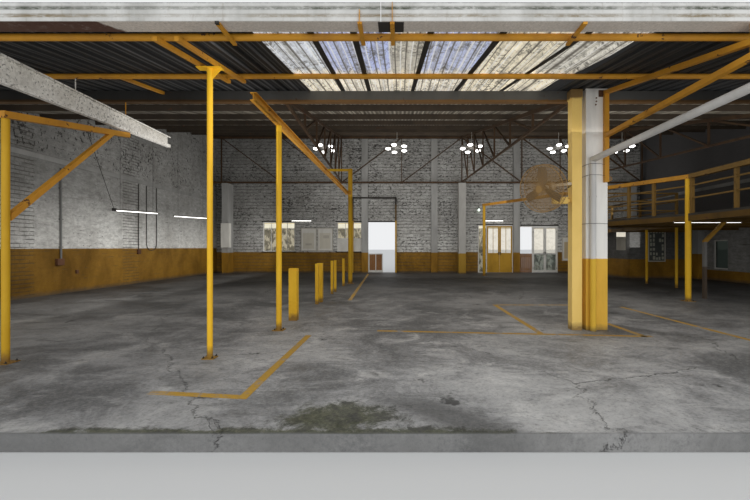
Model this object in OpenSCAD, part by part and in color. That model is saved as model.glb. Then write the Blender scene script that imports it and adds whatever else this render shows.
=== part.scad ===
/* [Hall] */
// Width over the outer faces of the side walls
hall_w = 25800; // [24500:100:27000]
// Depth from the gutter face to the outer face of the back wall
hall_d = 20050; // [19500:50:22000]
// Thickness of the brick walls
wall_t = 200; // [150:10:250]
// Thickness of the floor slab
floor_t = 150; // [100:10:250]
// Reach of the floor slab in front of the gutter face
slab_reach = 925; // [300:25:1500]

/* [Main roof] */
// Height of the roof underside above the floor at the main column line
roof_h = 4500; // [4450:10:4900]
// Pitch of the main roof in degrees
roof_pitch = 12.84; // [8:0.1:15]
// Distance of the main column line behind the gutter face
column_d = 3300; // [3100:10:3500]
// Depth of the roof purlins
purlin_h = 150; // [100:5:200]
// Width of the roof purlin flanges
purlin_w = 60; // [40:5:90]
// Number of roof purlins
purlin_count = 8; // [6:1:10]
// Distance of the cross truss in front of the back wall
truss_gap = 700; // [500:10:1200]
// Height of the cross truss bottom chord above the floor
truss_low_h = 5290; // [4900:10:5600]
// Spacing of the cross truss posts
truss_panel = 3500; // [3000:50:3600]
// Distance across the chord tubes of the trusses
chord_w = 100; // [60:5:120]
// Distance across the web bars of the trusses
web_w = 50; // [30:5:70]

/* [Canopy] */
// Height of the canopy underside above the floor at the gutter
canopy_h = 3900; // [3600:10:3920]
// Pitch of the canopy in degrees
canopy_pitch = 9.46; // [7:0.1:10]
// Outside diameter of the canopy purlins
canopy_purlin_dia = 80; // [60:5:100]
// Distances of the canopy purlins behind the gutter face
canopy_purlin_d = [400, 2100];
// Distance across the canopy rafters
rafter_w = 50; // [40:5:90]
// Left edge of the translucent sheets from the centre line
rooflight_left = -3400; // [-4000:100:-2400]
// Right edge of the translucent sheets from the centre line
rooflight_right = 1200; // [600:100:1600]

/* [Roof sheets] */
// Spacing of the ribs on the roof sheets
rib_pitch = 200; // [150:10:400]
// Height of the ribs on the roof sheets
rib_h = 32; // [20:1:50]
// Thickness of the roof sheets
sheet_t = 8; // [5:1:12]

/* [Gutter] */
// Width of the gutter from front to back
gutter_w = 210; // [150:5:260]
// Height of the gutter face
gutter_h = 200; // [150:5:240]
// Thickness of the gutter sheet
gutter_t = 6; // [4:1:10]
// Outside diameter of the rainwater pipe
pipe_dia = 110; // [75:5:125]
// Height of the rainwater pipe elbow at the column above the floor
pipe_run_h = 3085; // [2900:10:3200]
// Fall of the rainwater pipe from the gutter to the column
pipe_fall = 165; // [50:5:250]

/* [Columns and posts] */
// Side of the concrete columns
column_w = 390; // [300:10:450]
// Side of the yellow box post
box_post_w = 180; // [140:5:200]
// Diameter of the far left canopy post
left_post_dia = 90; // [70:5:110]
// Diameter of the slim canopy posts
canopy_post_dia = 75; // [60:5:100]
// Diameter of the front post of the hoist beam
hoist_post_dia = 100; // [80:5:120]
// Diameter of the back post of the hoist beam
back_post_dia = 180; // [140:5:200]
// Height of the hoist beam underside above the floor
hoist_h = 3710; // [3400:10:3900]
// Depth of the hoist beam section
hoist_beam_h = 120; // [100:5:160]
// Width of the hoist beam flanges
hoist_beam_w = 100; // [80:5:120]

/* [Mezzanine] */
// Height of the mezzanine floor above the hall floor
deck_h = 2450; // [2350:10:2600]
// Thickness of the mezzanine floor plate
deck_t = 60; // [40:5:80]
// Depth of the mezzanine edge beams
deck_beam_h = 150; // [120:5:180]
// Width of the mezzanine edge beams
deck_beam_w = 90; // [70:5:110]
// Height of the top rail above the mezzanine floor
rail_h = 1090; // [950:10:1200]
// Side of the top rail tube
rail_w = 120; // [80:5:120]
// Diameter of the round mezzanine post
deck_post_dia = 150; // [120:5:170]

/* [Doors] */
// Height of the yellow double door opening above the floor
yellow_door_h = 2850; // [2500:10:3000]
// Height of the glass door opening above the floor
glass_door_h = 2790; // [2500:10:3000]
// Height of the gate doorway above the floor
gateway_h = 3030; // [2600:10:3200]
// Height of the low gates above the floor
low_gate_h = 1140; // [900:10:1300]
// Thickness of the door leaves
leaf_t = 40; // [30:1:50]
// Running clearance around the door leaves
leaf_gap = 10; // [8:1:20]
// Width of the door frame members
frame_w = 50; // [40:5:60]
// Thickness of the window and door glass
glass_t = 8; // [5:1:10]

/* [Fan] */
// Radius of the fan guard
fan_r = 414; // [350:1:450]
// Depth of the fan guard from front to back
fan_depth = 260; // [220:5:300]
// Angle of the fan to the left in degrees
fan_turn = 50; // [20:1:60]
// Angle of the fan downwards in degrees
fan_tilt = 12; // [0:1:20]
// Thickness of the fan guard wires
wire = 7; // [5:0.5:9]
// Number of guard wires on each face
guard_wires = 24; // [12:2:36]
// Number of fan blades
blade_count = 4; // [3:1:6]

/* [Hidden] */
$fn = 32;

yellow = "#d9b23c";
wall_white = "#d8d8d4";
concrete = "#a9a7a0";
steel_brown = "#6d5b4c";
sheet_grey = "#8d9396";

inner_x = hall_w / 2 - wall_t;
inner_d = hall_d - wall_t;
front_y = (slab_reach - hall_d) / 2;
roof_start_d = column_d - 150;
canopy_start_d = gutter_w - 50;
canopy_end_d = column_d + 150;
truss_d = inner_d - truss_gap;
first_purlin_d = column_d + 350;
purlin_step = (truss_d - first_purlin_d) / (purlin_count - 1);
beam_front_d = column_d - 10;
beam_back_d = column_d + 110;
beam_h = 200;
column_front_d = column_d - column_w / 2;
column_back_d = column_d + column_w / 2;
box_post_x = 1510;
box_post_d = beam_front_d - box_post_w / 2 - 10;
column_x = [-9600, 1870, 8000];
truss_post_x = 1900;
truss_column_w = 420;
overlap = 1;
seat_gap = 0.3;

// Heights of the undersides of the two roofs at a distance behind the gutter face
function canopy_z(d) = floor_t + canopy_h + (d - gutter_w) * tan(canopy_pitch);
function roof_z(d) = floor_t + roof_h + (d - column_d - 50) * tan(roof_pitch);

beam_low_z = canopy_z(beam_front_d) - beam_h;
gutter_z = canopy_z(canopy_purlin_d[0]) - canopy_purlin_dia / cos(canopy_pitch);
truss_top_z = roof_z(truss_d) - purlin_h * cos(roof_pitch) - purlin_w / 2 * sin(roof_pitch)
    - 2 * seat_gap;
truss_low_z = floor_t + truss_low_h;
deck_z = floor_t + deck_h;
deck_low_z = deck_z - deck_t;
deck_beam_z = deck_low_z - deck_beam_h;
rail_z = deck_z + rail_h;

// Moves children from distances behind the gutter face to the frame of the hall
module behind(d, x = 0, z = 0) {
    translate([x, front_y + d, z]) children();
}

// A block between two corners given as across, behind the gutter face and above the ground
module block(x1, x2, d1, d2, z1, z2) {
    behind(d1, x1, z1) cube([x2 - x1, d2 - d1, z2 - z1]);
}

// Extrudes an outline of distances and heights across the hall
module across(x1, x2) {
    behind(0, x1) rotate([90, 0, 90]) linear_extrude(x2 - x1) children();
}

// Extrudes an outline of cross positions and heights towards the back
module along(d1, d2) {
    behind(d2) rotate([90, 0, 0]) linear_extrude(d2 - d1) children();
}

// A bar of a flat lattice, drawn between two points
module line(a, b, w) {
    run = b - a;
    translate(a) rotate(atan2(run.y, run.x)) translate([0, -w / 2]) square([norm(run), w]);
}

// A bar in a plane that runs front to back, cut upright at both ends
module sloping_bar(x, w, d1, d2, z1, z2, h) {
    across(x - w / 2, x + w / 2) polygon([[d1, z1], [d2, z2], [d2, z2 + h], [d1, z1 + h]]);
}

module post(x, d, dia, z1, z2) {
    behind(d, x, z1) cylinder(d = dia, h = z2 - z1);
}

module post_foot(x, d, w) {
    block(x - w / 2, x + w / 2, d - w / 2, d + w / 2, floor_t, floor_t + 12);
}

// One rib, as shares of the rib spacing and of the rib height
rib_steps = [[0, 0], [0.55, 0], [0.65, 1], [0.9, 1]];

// Ribbed sheet profile between two cross positions, with its flats on the zero line
function rib_top(x1, x2, lift) = let (count = floor((x2 - x1) / rib_pitch)) [
    for (i = [0 : count - 1], p = rib_steps) [x1 + (i + p[0]) * rib_pitch, lift + p[1] * rib_h],
    if (x2 - x1 > count * rib_pitch + overlap) [x1 + count * rib_pitch, lift],
    [x2, lift]
];

module rib_outline(x1, x2) {
    low = rib_top(x1, x2, 0);
    polygon(concat(rib_top(x1, x2, sheet_t), [for (i = [len(low) - 1 : -1 : 0]) low[i]]));
}

// A ribbed roof laid on a pitch, with its underside given by a height at its back edge
module ribbed_roof(x1, x2, d1, d2, z2, pitch) {
    behind(d2, 0, z2) rotate([90 + pitch, 0, 0]) linear_extrude((d2 - d1) / cos(pitch))
        rib_outline(x1, x2);
}

// Hall shell

module floor_slab() {
    color(concrete) block(-hall_w / 2, hall_w / 2, -slab_reach, hall_d, 0, floor_t);
}

module side_wall_outline() {
    polygon([[gutter_w, floor_t], [inner_d, floor_t], [inner_d, roof_z(inner_d)],
             [canopy_end_d + 10, roof_z(canopy_end_d + 10)],
             [canopy_end_d + 10, canopy_z(canopy_end_d + 10)], [gutter_w, canopy_z(gutter_w)]]);
}

module left_wall() {
    color(wall_white) across(-hall_w / 2, -inner_x) side_wall_outline();
}

side_window = [[13420, 14240], [530, 1840]];

module right_wall() {
    color(wall_white) across(inner_x, hall_w / 2) difference() {
        side_wall_outline();
        translate([side_window[0][0], floor_t + side_window[1][0]])
            square([side_window[0][1] - side_window[0][0], side_window[1][1] - side_window[1][0]]);
    }
}

// Openings of the back wall, each as two cross positions
hatch_window_x = [-9920, -8000];
panel_window_x = [-5480, -3990];
gateway_x = [-3610, -2000];
yellow_door_x = [2980, 5080];
glass_door_x = [5460, 7760];
window_z = [floor_t + 1260, floor_t + 3030];

module back_wall_piece(x1, x2, z1 = floor_t) {
    across(x1, x2) polygon([[inner_d, z1], [hall_d, z1], [hall_d, roof_z(hall_d)],
                            [inner_d, roof_z(inner_d)]]);
}

module wall_window(x) {
    block(x[0], x[1], inner_d - overlap, hall_d + overlap, window_z[0], window_z[1]);
}

module back_wall_left() {
    color(wall_white) difference() {
        back_wall_piece(-hall_w / 2, gateway_x[0]);
        wall_window(hatch_window_x);
        wall_window(panel_window_x);
    }
}

module back_wall_right() {
    color(wall_white) {
        back_wall_piece(gateway_x[1], yellow_door_x[0]);
        back_wall_piece(yellow_door_x[1], glass_door_x[0]);
        back_wall_piece(glass_door_x[1], hall_w / 2);
    }
}

module door_lintels() {
    color(wall_white) {
        back_wall_piece(gateway_x[0], gateway_x[1], floor_t + gateway_h);
        back_wall_piece(yellow_door_x[0], yellow_door_x[1], floor_t + yellow_door_h);
        back_wall_piece(glass_door_x[0], glass_door_x[1], floor_t + glass_door_h);
    }
}

pilaster_w = 380;
pilaster_t = 150;
pilaster_x = [-3800, 355, 5270];
end_pilaster_x = [835 - inner_x, inner_x - 835];
end_pilaster_w = 350;
end_pilaster_d = truss_d - 100;
room_pilaster_d = [14750, 15140];
room_pilaster_t = 310;

module end_pilaster(x) {
    block(x - end_pilaster_w / 2, x + end_pilaster_w / 2, end_pilaster_d, inner_d,
          floor_t, truss_low_z - chord_w / 2);
}

module wall_pilasters() {
    color(wall_white) {
        for (x = pilaster_x)
            block(x - pilaster_w / 2, x + pilaster_w / 2, inner_d - pilaster_t, inner_d,
                  floor_t, roof_z(inner_d - pilaster_t));
        for (x = end_pilaster_x) end_pilaster(x);
        block(inner_x - room_pilaster_t, inner_x, room_pilaster_d[0], room_pilaster_d[1],
              floor_t, deck_low_z);
    }
}

band_top_h = 4350;
band_w = 150;
band_t = 40;

module side_wall_bands() {
    color(concrete) for (x = [-inner_x, inner_x - band_t])
        block(x, x + band_t, column_back_d, end_pilaster_d, floor_t + band_top_h - band_w,
              floor_t + band_top_h);
}

corner_room_x = 9500;
corner_room_d = 15350;
corner_wall_t = 150;

module corner_room_walls() {
    color(wall_white) difference() {
        union() {
            block(corner_room_x, corner_room_x + corner_wall_t, corner_room_d, inner_d,
                  floor_t, deck_low_z);
            block(corner_room_x, inner_x, corner_room_d, corner_room_d + corner_wall_t,
                  floor_t, deck_low_z);
        }
        for (d = joist_d) if (d > corner_room_d) joist(d);
    }
}

// Columns and front beam

module concrete_columns() {
    color(concrete) {
        for (x = column_x)
            block(x - column_w / 2, x + column_w / 2, column_front_d, column_back_d, floor_t,
                  canopy_z(column_front_d));
        block(truss_post_x - truss_column_w / 2, truss_post_x + truss_column_w / 2,
              truss_d - truss_column_w / 2, truss_d + truss_column_w / 2, floor_t,
              truss_low_z - chord_w / 2);
    }
}

module front_beam() {
    sides = [for (x = column_x, s = [-1, 1]) x + s * column_w / 2];
    ends = concat([-inner_x], sides, [inner_x]);
    color(steel_brown) for (i = [0 : 2 : len(ends) - 2])
        block(ends[i], ends[i + 1], beam_front_d, beam_back_d, beam_low_z, beam_low_z + beam_h);
}

module box_post() {
    cap_h = 160;
    cap_lip = 15;
    r = box_post_w / 2;
    color(yellow) {
        block(box_post_x - r, box_post_x + r, box_post_d - r, box_post_d + r, floor_t, beam_low_z);
        block(box_post_x - r - cap_lip, box_post_x + r + cap_lip, box_post_d - r, beam_front_d,
              beam_low_z - overlap, beam_low_z + cap_h);
    }
}

// Canopy

canopy_post_x = [-9900, -4280, 5400, 9900];
canopy_post_d = 1280;
seat_t = 10;

function rafter_low_z(d) = canopy_z(d) - (canopy_purlin_dia + rafter_w) / cos(canopy_pitch);

module canopy_posts() {
    seat_w = 330;
    seat_l = 120;
    top = rafter_low_z(canopy_post_d - seat_l / 2) - seat_t;
    color(yellow) for (x = canopy_post_x) {
        post(x, canopy_post_d, canopy_post_dia, floor_t, top + overlap);
        post_foot(x, canopy_post_d, 160);
        block(x - seat_w / 2, x + seat_w / 2, canopy_post_d - seat_l / 2,
              canopy_post_d + seat_l / 2, top, top + seat_t);
        behind(canopy_post_d + 4, x, 0) rotate([90, 0, 0]) linear_extrude(8)
            polygon([[0, top - 180], [seat_w / 2, top], [0, top]]);
    }
    color(yellow) {
        post(left_post_x, left_post_d, left_post_dia, floor_t,
             lower_rafter_z(left_post_d - left_post_dia / 2));
        post_foot(left_post_x, left_post_d, 200);
    }
}

left_post_x = -6827;
left_post_d = 1050;
channel_x = -6820;
channel_w = 75;
channel_d = [650, 4650];
// Heights of the edges of the channel above the floor at its front and back ends
channel_low_h = [3580, 3700];
channel_top_h = [3965, 3930];
lower_rafter_w = 90;
lower_rafter_end_d = column_d + 90;
lower_rafter_slope = tan(canopy_pitch);

function channel_z(h, d) = floor_t + h[0]
    + (h[1] - h[0]) * (d - channel_d[0]) / (channel_d[1] - channel_d[0]);
channel_low_z = channel_z(channel_low_h, lower_rafter_end_d);

function lower_rafter_z(d) = channel_low_z - lower_rafter_w / cos(canopy_pitch)
    - (lower_rafter_end_d - d) * lower_rafter_slope;

module lower_rafter() {
    start = left_post_d - left_post_dia / 2 - 15;
    brace_w = 70;
    brace_low = [left_post_d + left_post_dia / 2 + seat_gap, floor_t + 1850];
    brace_top = [left_post_d + 1960, left_post_d + 1840];
    bite = 20;
    rod_dia = 16;
    rod_d = column_d + 40;
    rod_low_z = lower_rafter_z(rod_d) + bite;
    color(yellow) {
        sloping_bar(left_post_x, lower_rafter_w, start, lower_rafter_end_d,
                    lower_rafter_z(start), lower_rafter_z(lower_rafter_end_d),
                    lower_rafter_w / cos(canopy_pitch));
        across(left_post_x - brace_w / 2, left_post_x + brace_w / 2)
            polygon([brace_low, for (d = brace_top) [d, lower_rafter_z(d) + bite],
                     brace_low + [0, 100]]);
        post(channel_x - rod_dia, rod_d, rod_dia, rod_low_z, beam_low_z);
    }
}

// A strip along the channel between two heights above its lower edge line or below its upper one
module channel_strip(x1, x2, h, z1, z2) {
    across(x1, x2) polygon([for (d = channel_d) [d, channel_z(h, d) + z1],
                            for (i = [1, 0]) [channel_d[i], channel_z(h, channel_d[i]) + z2]]);
}

module steel_channel() {
    low_lip = 60;
    top_lip = 25;
    t = 6;
    x2 = channel_x + channel_w;
    hanger_x = x2 - 25;
    hanger_dia = 16;
    hanger_d = canopy_purlin_d[1];
    color("#c3c6c6") {
        across(channel_x, channel_x + t)
            polygon([for (d = channel_d) [d, channel_z(channel_low_h, d)],
                     for (i = [1, 0]) [channel_d[i], channel_z(channel_top_h, channel_d[i])]]);
        channel_strip(channel_x, x2, channel_low_h, 0, t);
        channel_strip(channel_x, x2, channel_top_h, -t, 0);
        channel_strip(x2 - t, x2, channel_low_h, 0, low_lip);
        channel_strip(x2 - t, x2, channel_top_h, -top_lip, 0);
        post(hanger_x, hanger_d, hanger_dia, channel_z(channel_top_h, hanger_d) - overlap,
             canopy_z(hanger_d) - canopy_purlin_dia / 2 * (1 + 1 / cos(canopy_pitch)) - seat_gap);
    }
}

canopy_rafter_x = [-9900, 5400, 9900];
// The pair over the left canopy post ends at the second purlin
short_rafter_x = [-4400, -4160];

module canopy_rafter(x, d1, d2) {
    sloping_bar(x, rafter_w, d1, d2, rafter_low_z(d1), rafter_low_z(d2), rafter_w / cos(canopy_pitch));
}

module canopy_rafters() {
    start = gutter_w + 40;
    strut_x = -6100;
    strut_w = 50;
    strut_d = canopy_purlin_d[1] + canopy_purlin_dia / 2 + seat_gap;
    drop = 65 / cos(canopy_pitch);
    color(yellow) {
        for (x = canopy_rafter_x) canopy_rafter(x, start, beam_front_d);
        for (x = short_rafter_x) canopy_rafter(x, start, canopy_purlin_d[1] + canopy_purlin_dia);
        sloping_bar(strut_x, strut_w, strut_d, beam_front_d, canopy_z(strut_d) - drop,
                    canopy_z(beam_front_d) - drop, strut_w);
    }
}

module canopy_purlins() {
    color(yellow) for (d = canopy_purlin_d)
        behind(d, -inner_x, canopy_z(d) - canopy_purlin_dia / 2 / cos(canopy_pitch))
            rotate([0, 90, 0]) cylinder(d = canopy_purlin_dia, h = 2 * inner_x);
}

module canopy_sheet(x1, x2) {
    ribbed_roof(x1, x2, canopy_start_d, canopy_end_d, canopy_z(canopy_end_d), canopy_pitch);
}

module canopy_sheets() {
    color(sheet_grey) {
        canopy_sheet(-hall_w / 2, rooflight_left);
        canopy_sheet(rooflight_right, hall_w / 2);
    }
}

module canopy_rooflight() {
    color("#e8eef0", 0.6) canopy_sheet(rooflight_left, rooflight_right);
}

bracket_x = 2020;
bracket_w = 75;
bracket_pitch = 11.9;
// Heights above the floor of the tie and of the foot of the hanger of the bracket
bracket_tie_h = 3485;
bracket_hanger_h = 2680;

// Underside of the upper bar of the bracket, which passes just under the second purlin
function bracket_z(d) = canopy_z(canopy_purlin_d[1]) - seat_gap
    - canopy_purlin_dia / 2 * (1 / cos(canopy_pitch) + 1 / cos(bracket_pitch))
    - (bracket_w - 10) / cos(bracket_pitch) + (d - canopy_purlin_d[1]) * tan(bracket_pitch);

module bracket_block(d1, d2, z1, z2) {
    block(bracket_x - bracket_w / 2, bracket_x + bracket_w / 2, d1, d2, z1, z2);
}

module column_bracket() {
    tie_low = floor_t + bracket_tie_h;
    tie_h = 70;
    hanger_low = floor_t + bracket_hanger_h;
    hanger_d = column_front_d - bracket_w;
    nose_w = 60;
    ring_r = 34;
    color(yellow) {
        bracket_block(hanger_d, column_front_d, hanger_low, bracket_z(hanger_d) + overlap);
        bracket_block(0, hanger_d + overlap, tie_low, tie_low + tie_h);
        bracket_block(0, nose_w, tie_low, gutter_z);
        sloping_bar(bracket_x, bracket_w, nose_w - overlap, column_front_d, bracket_z(nose_w),
                    bracket_z(column_front_d), (bracket_w - 10) / cos(bracket_pitch));
        behind(hanger_d + bracket_w / 2, bracket_x + bracket_w / 2 + ring_r - 4, hanger_low + 60)
            rotate([90, 0, 0]) rotate_extrude() translate([ring_r, 0]) circle(d = 10, $fn = 16);
    }
}

// Gutter and rainwater pipe

gutter_joint_x = -1900;
gutter_joint = 2;

gutter_gap = 4;
groove = 4;

module gutter_outline() {
    difference() {
        square([gutter_w, gutter_h]);
        translate([gutter_t + groove, gutter_t]) square([gutter_w, gutter_h]);
        translate([-overlap, gutter_h * 0.2]) square([groove + overlap, gutter_h * 0.12]);
        translate([-overlap, gutter_h * 0.5]) square([groove + overlap, gutter_h * 0.22]);
    }
    translate([gutter_w - gutter_t, 0])
        square([gutter_t, canopy_z(gutter_w - gutter_t) - gutter_gap - gutter_z]);
}

// The end cap, notched where the canopy sheets run over it
module gutter_cap_outline() {
    notch_d = canopy_start_d - 2 * gutter_gap;
    square([notch_d, gutter_h]);
    square([gutter_w, canopy_z(canopy_start_d) - gutter_gap - gutter_z]);
}

module gutter_length(x1, x2, cap_x) {
    translate([0, 0, gutter_z]) {
        across(x1, x2) gutter_outline();
        across(cap_x, cap_x + gutter_t) gutter_cap_outline();
    }
}

module gutter() {
    color(sheet_grey) {
        gutter_length(-hall_w / 2, gutter_joint_x, -hall_w / 2);
        gutter_length(gutter_joint_x + gutter_joint, hall_w / 2, hall_w / 2 - gutter_t);
    }
}

gutter_bracket_x = [1000 - hall_w / 2, -9500, -7500, -3600, -2120, -1780, 230, 2600, 4600,
                    6600, 8600, 10200, hall_w / 2 - 900];

module gutter_brackets() {
    bar_w = 45;
    bar_t = 25;
    color(yellow) for (x = gutter_bracket_x)
        block(x - bar_w / 2, x + bar_w / 2, 10, canopy_purlin_d[0] + 60, gutter_z - bar_t, gutter_z);
}

// Ends of the sloping run of the rainwater pipe, as across, behind the gutter face and height
pipe_back = [1770, column_front_d - pipe_dia / 2 - 6, floor_t + pipe_run_h];
pipe_front = [2135, gutter_w / 2, pipe_back.z + pipe_fall];

module pipe_length(a, b) {
    run = b - a;
    translate(a) rotate([0, acos(run.z / norm(run)), atan2(run.y, run.x)])
        cylinder(d = pipe_dia, h = norm(run));
}

module downpipe() {
    collar = 12;
    collar_h = 30;
    color("white") {
        behind(0) {
            pipe_length(pipe_front, [pipe_front.x, pipe_front.y, gutter_z]);
            pipe_length(pipe_back, pipe_front);
            pipe_length([pipe_back.x, pipe_back.y, floor_t], pipe_back);
            for (elbow = [pipe_front, pipe_back]) translate(elbow) sphere(d = pipe_dia + 4);
        }
        for (z = [floor_t + 900, floor_t + 2400]) {
            post(pipe_back.x, pipe_back.y, pipe_dia + collar, z, z + collar_h);
            block(pipe_back.x - collar_h, pipe_back.x + collar_h, pipe_back.y + pipe_dia / 2 - overlap,
                  column_front_d, z, z + collar_h);
        }
    }
}

// Hoist beam and its posts

hoist_x = -3900;
hoist_d = [1850, 12420];
back_post_x = -3770;
back_post_h = 4770;

module hoist_beam() {
    t = 12;
    plate_lip = 20;
    low = floor_t + hoist_h;
    color(yellow) {
        along(hoist_d[0], hoist_d[1]) translate([hoist_x, low]) {
            translate([-hoist_beam_w / 2, 0]) square([hoist_beam_w, t]);
            translate([-hoist_beam_w / 2, hoist_beam_h - t]) square([hoist_beam_w, t]);
            translate([-t / 2, 0]) square([t, hoist_beam_h]);
        }
        block(hoist_x - hoist_beam_w / 2 - plate_lip, back_post_x + back_post_dia / 3, hoist_d[1] - t,
              hoist_d[1], low - plate_lip, low + hoist_beam_h + plate_lip);
    }
}

module hoist_posts() {
    front_d = 3120;
    top = floor_t + back_post_h;
    arm_w = 90;
    arm_l = 1150;
    d = hoist_d[1] + back_post_dia / 2;
    color(yellow) {
        post(hoist_x, front_d, hoist_post_dia, floor_t, floor_t + hoist_h);
        post_foot(hoist_x, front_d, 200);
        post(back_post_x, d, back_post_dia, floor_t, top);
        post_foot(back_post_x, d, 300);
        block(back_post_x - arm_l, back_post_x, d - arm_w / 2, d + arm_w / 2, top - arm_w, top);
    }
}

// Main roof

module roof_sheets() {
    color(sheet_grey) ribbed_roof(-hall_w / 2, hall_w / 2, roof_start_d, hall_d,
                                  roof_z(hall_d), roof_pitch);
}

module roof_purlins() {
    t = 8;
    color(steel_brown) for (i = [0 : purlin_count - 1]) {
        d = first_purlin_d + i * purlin_step;
        behind(d, -inner_x, roof_z(d) - seat_gap) rotate([roof_pitch, 0, 0]) rotate([90, 0, 90])
            linear_extrude(2 * inner_x) difference() {
                translate([-purlin_w / 2, -purlin_h]) square([purlin_w, purlin_h]);
                translate([-purlin_w / 2 + t, -purlin_h + t]) square([purlin_w, purlin_h - 2 * t]);
            }
    }
}

truss_front_d = beam_back_d + 12;
truss_back_d = truss_d - chord_w / 2 - 12;
truss_heel_z = beam_low_z + 35;
truss_panels = 7;

// Height of the middle of the sloping top chord
function chord_z(d) = roof_z(d) - (purlin_h + chord_w / 2) / cos(roof_pitch) - 3 * seat_gap;

low_chord_w = 64;
truss_t = 56;
end_plate_w = 120;
low_chord_end_z = truss_low_z + (chord_w - low_chord_w) / 2;

// Lattice outline with distances stretched for a truss that stands at an angle in plan
module roof_truss_outline(stretch) {
    n = truss_panels;
    step = (truss_back_d - truss_front_d) / n;
    top = [for (i = [0 : n]) [i * step * stretch, chord_z(truss_front_d + i * step)]];
    low = [for (i = [0 : n])
        [i * step * stretch, truss_heel_z + (low_chord_end_z - truss_heel_z) * i / n]];
    line(top[0], top[n], chord_w);
    line(low[0], low[n], low_chord_w);
    for (i = [1 : n]) line(low[i], top[i], web_w);
    for (i = [1 : n - 1]) line(low[i], top[i + 1], web_w);
}

module roof_truss(x1, x2) {
    length = truss_back_d - truss_front_d;
    turn = atan2(x1 - x2, length);
    r = end_plate_w / 2;
    bite = 8;
    color(steel_brown) {
        behind(truss_front_d, x1) rotate([0, 0, turn]) rotate([90, 0, 90])
            translate([0, 0, -truss_t / 2]) linear_extrude(truss_t) intersection() {
                roof_truss_outline(1 / cos(turn));
                square([length / cos(turn), hall_d]);
            }
        block(x1 - r, x1 + r, beam_back_d, truss_front_d + bite, beam_low_z, beam_low_z + beam_h);
        for (z = [truss_low_z - chord_w / 2, truss_top_z - chord_w])
            block(x2 - r, x2 + r, truss_back_d - bite, truss_d - chord_w / 2, z, z + chord_w);
    }
}

// Front ends of the sloping trusses, from the left
roof_truss_x = [-3850, 1500, 7600];

module roof_trusses() {
    roof_truss(roof_truss_x[0], truss_post_x - 2 * truss_panel);
    roof_truss(roof_truss_x[1], truss_post_x);
    roof_truss(roof_truss_x[2], roof_truss_x[2]);
}

module cross_truss() {
    end_gap = 200;
    first = ceil((-inner_x + end_gap - truss_post_x) / truss_panel);
    last = floor((inner_x - end_gap - truss_post_x) / truss_panel);
    xs = [for (i = [first : last]) truss_post_x + i * truss_panel];
    low = truss_low_z;
    top = truss_top_z - chord_w / 2;
    color(steel_brown) along(truss_d - chord_w / 2, truss_d + chord_w / 2) {
        line([-inner_x, low], [inner_x, low], chord_w);
        line([-inner_x, top], [inner_x, top], chord_w);
        for (x = xs) line([x, low], [x, top], web_w);
        for (i = [0 : len(xs) - 2]) {
            rising = i == 2 || i == 3;
            line([xs[i], rising ? low : top], [xs[i + 1], rising ? top : low], web_w);
        }
    }
}

// Mezzanine

deck_front = [6370, 3895];
deck_turn = [6370, 7050];
deck_corner = [5075, 10750];
deck_step = [8600, 10750];
far_post = [2800, 17250];
far_post_top_h = 3840;
joist_d = [5700, 7600, 9300, 12900, 15200, 17400];
deck_support_d = [12550, 16000];
slim_post_dia = 100;

// Centre lines of the open edges of the mezzanine, from the front to the back wall
deck_edges = [[[inner_x, deck_front.y], deck_front], [deck_front, deck_turn],
              [deck_turn, deck_corner], [deck_corner, deck_step],
              [deck_step, [deck_step.x, inner_d]]];

// A beam centred on a line between two plan positions, given by its underside
module plan_beam(a, b, w, z, h) {
    run = b - a;
    behind(a.y, a.x, z) rotate([0, 0, atan2(run.y, run.x)]) translate([0, -w / 2, 0])
        cube([norm(run), w, h]);
}

// Outline of strips along the open edges, with square corners where two of them meet
module edge_outline() {
    for (edge = deck_edges) line(edge[0], edge[1], deck_beam_w);
    for (p = [deck_front, deck_corner, deck_step]) translate(p) square(deck_beam_w, center = true);
}

// Cross position of the left mezzanine edge at a distance behind the gutter face
function deck_left_x(d) = d > deck_step.y ? deck_step.x
    : d < deck_turn.y ? deck_front.x
    : deck_turn.x + (deck_corner.x - deck_turn.x) * (d - deck_turn.y) / (deck_corner.y - deck_turn.y);

module joist(d) {
    plan_beam([deck_left_x(d), d], [inner_x, d], deck_beam_w, deck_beam_z, deck_beam_h);
}

module round_post_hole() {
    post(deck_turn.x, deck_turn.y, deck_post_dia + 2 * seat_gap, 0, rail_z);
}

module mezzanine_floor() {
    r = deck_beam_w / 2;
    slant = (deck_corner.x - deck_turn.x) / (deck_corner.y - deck_turn.y);
    slant_x = deck_turn.x - r * sqrt(1 + slant * slant);
    back_d = deck_corner.y + r;
    color("#7d7a74") difference() {
        behind(0, 0, deck_low_z) linear_extrude(deck_t)
            polygon([[deck_front.x - r, deck_front.y - r], [deck_turn.x - r, deck_turn.y],
                     [slant_x, deck_turn.y], [slant_x + slant * (back_d - deck_turn.y), back_d],
                     [deck_step.x - r, back_d], [deck_step.x - r, inner_d], [inner_x, inner_d],
                     [inner_x, deck_front.y - r]]);
        round_post_hole();
        end_pilaster(end_pilaster_x[1]);
    }
}

module mezzanine_beams() {
    color(yellow) difference() {
        union() {
            behind(0, 0, deck_beam_z) linear_extrude(deck_beam_h) edge_outline();
            plan_beam(deck_step, [inner_x, deck_step.y], deck_beam_w, deck_beam_z, deck_beam_h);
            for (d = joist_d) joist(d);
        }
        round_post_hole();
    }
}

// Height of the underside of the high rail along its length
high_rail_run = far_post - deck_turn;
high_rail_l = norm(high_rail_run);
function high_rail_low(s) = rail_z - rail_w + (floor_t + far_post_top_h - rail_z) * s / high_rail_l;

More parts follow.
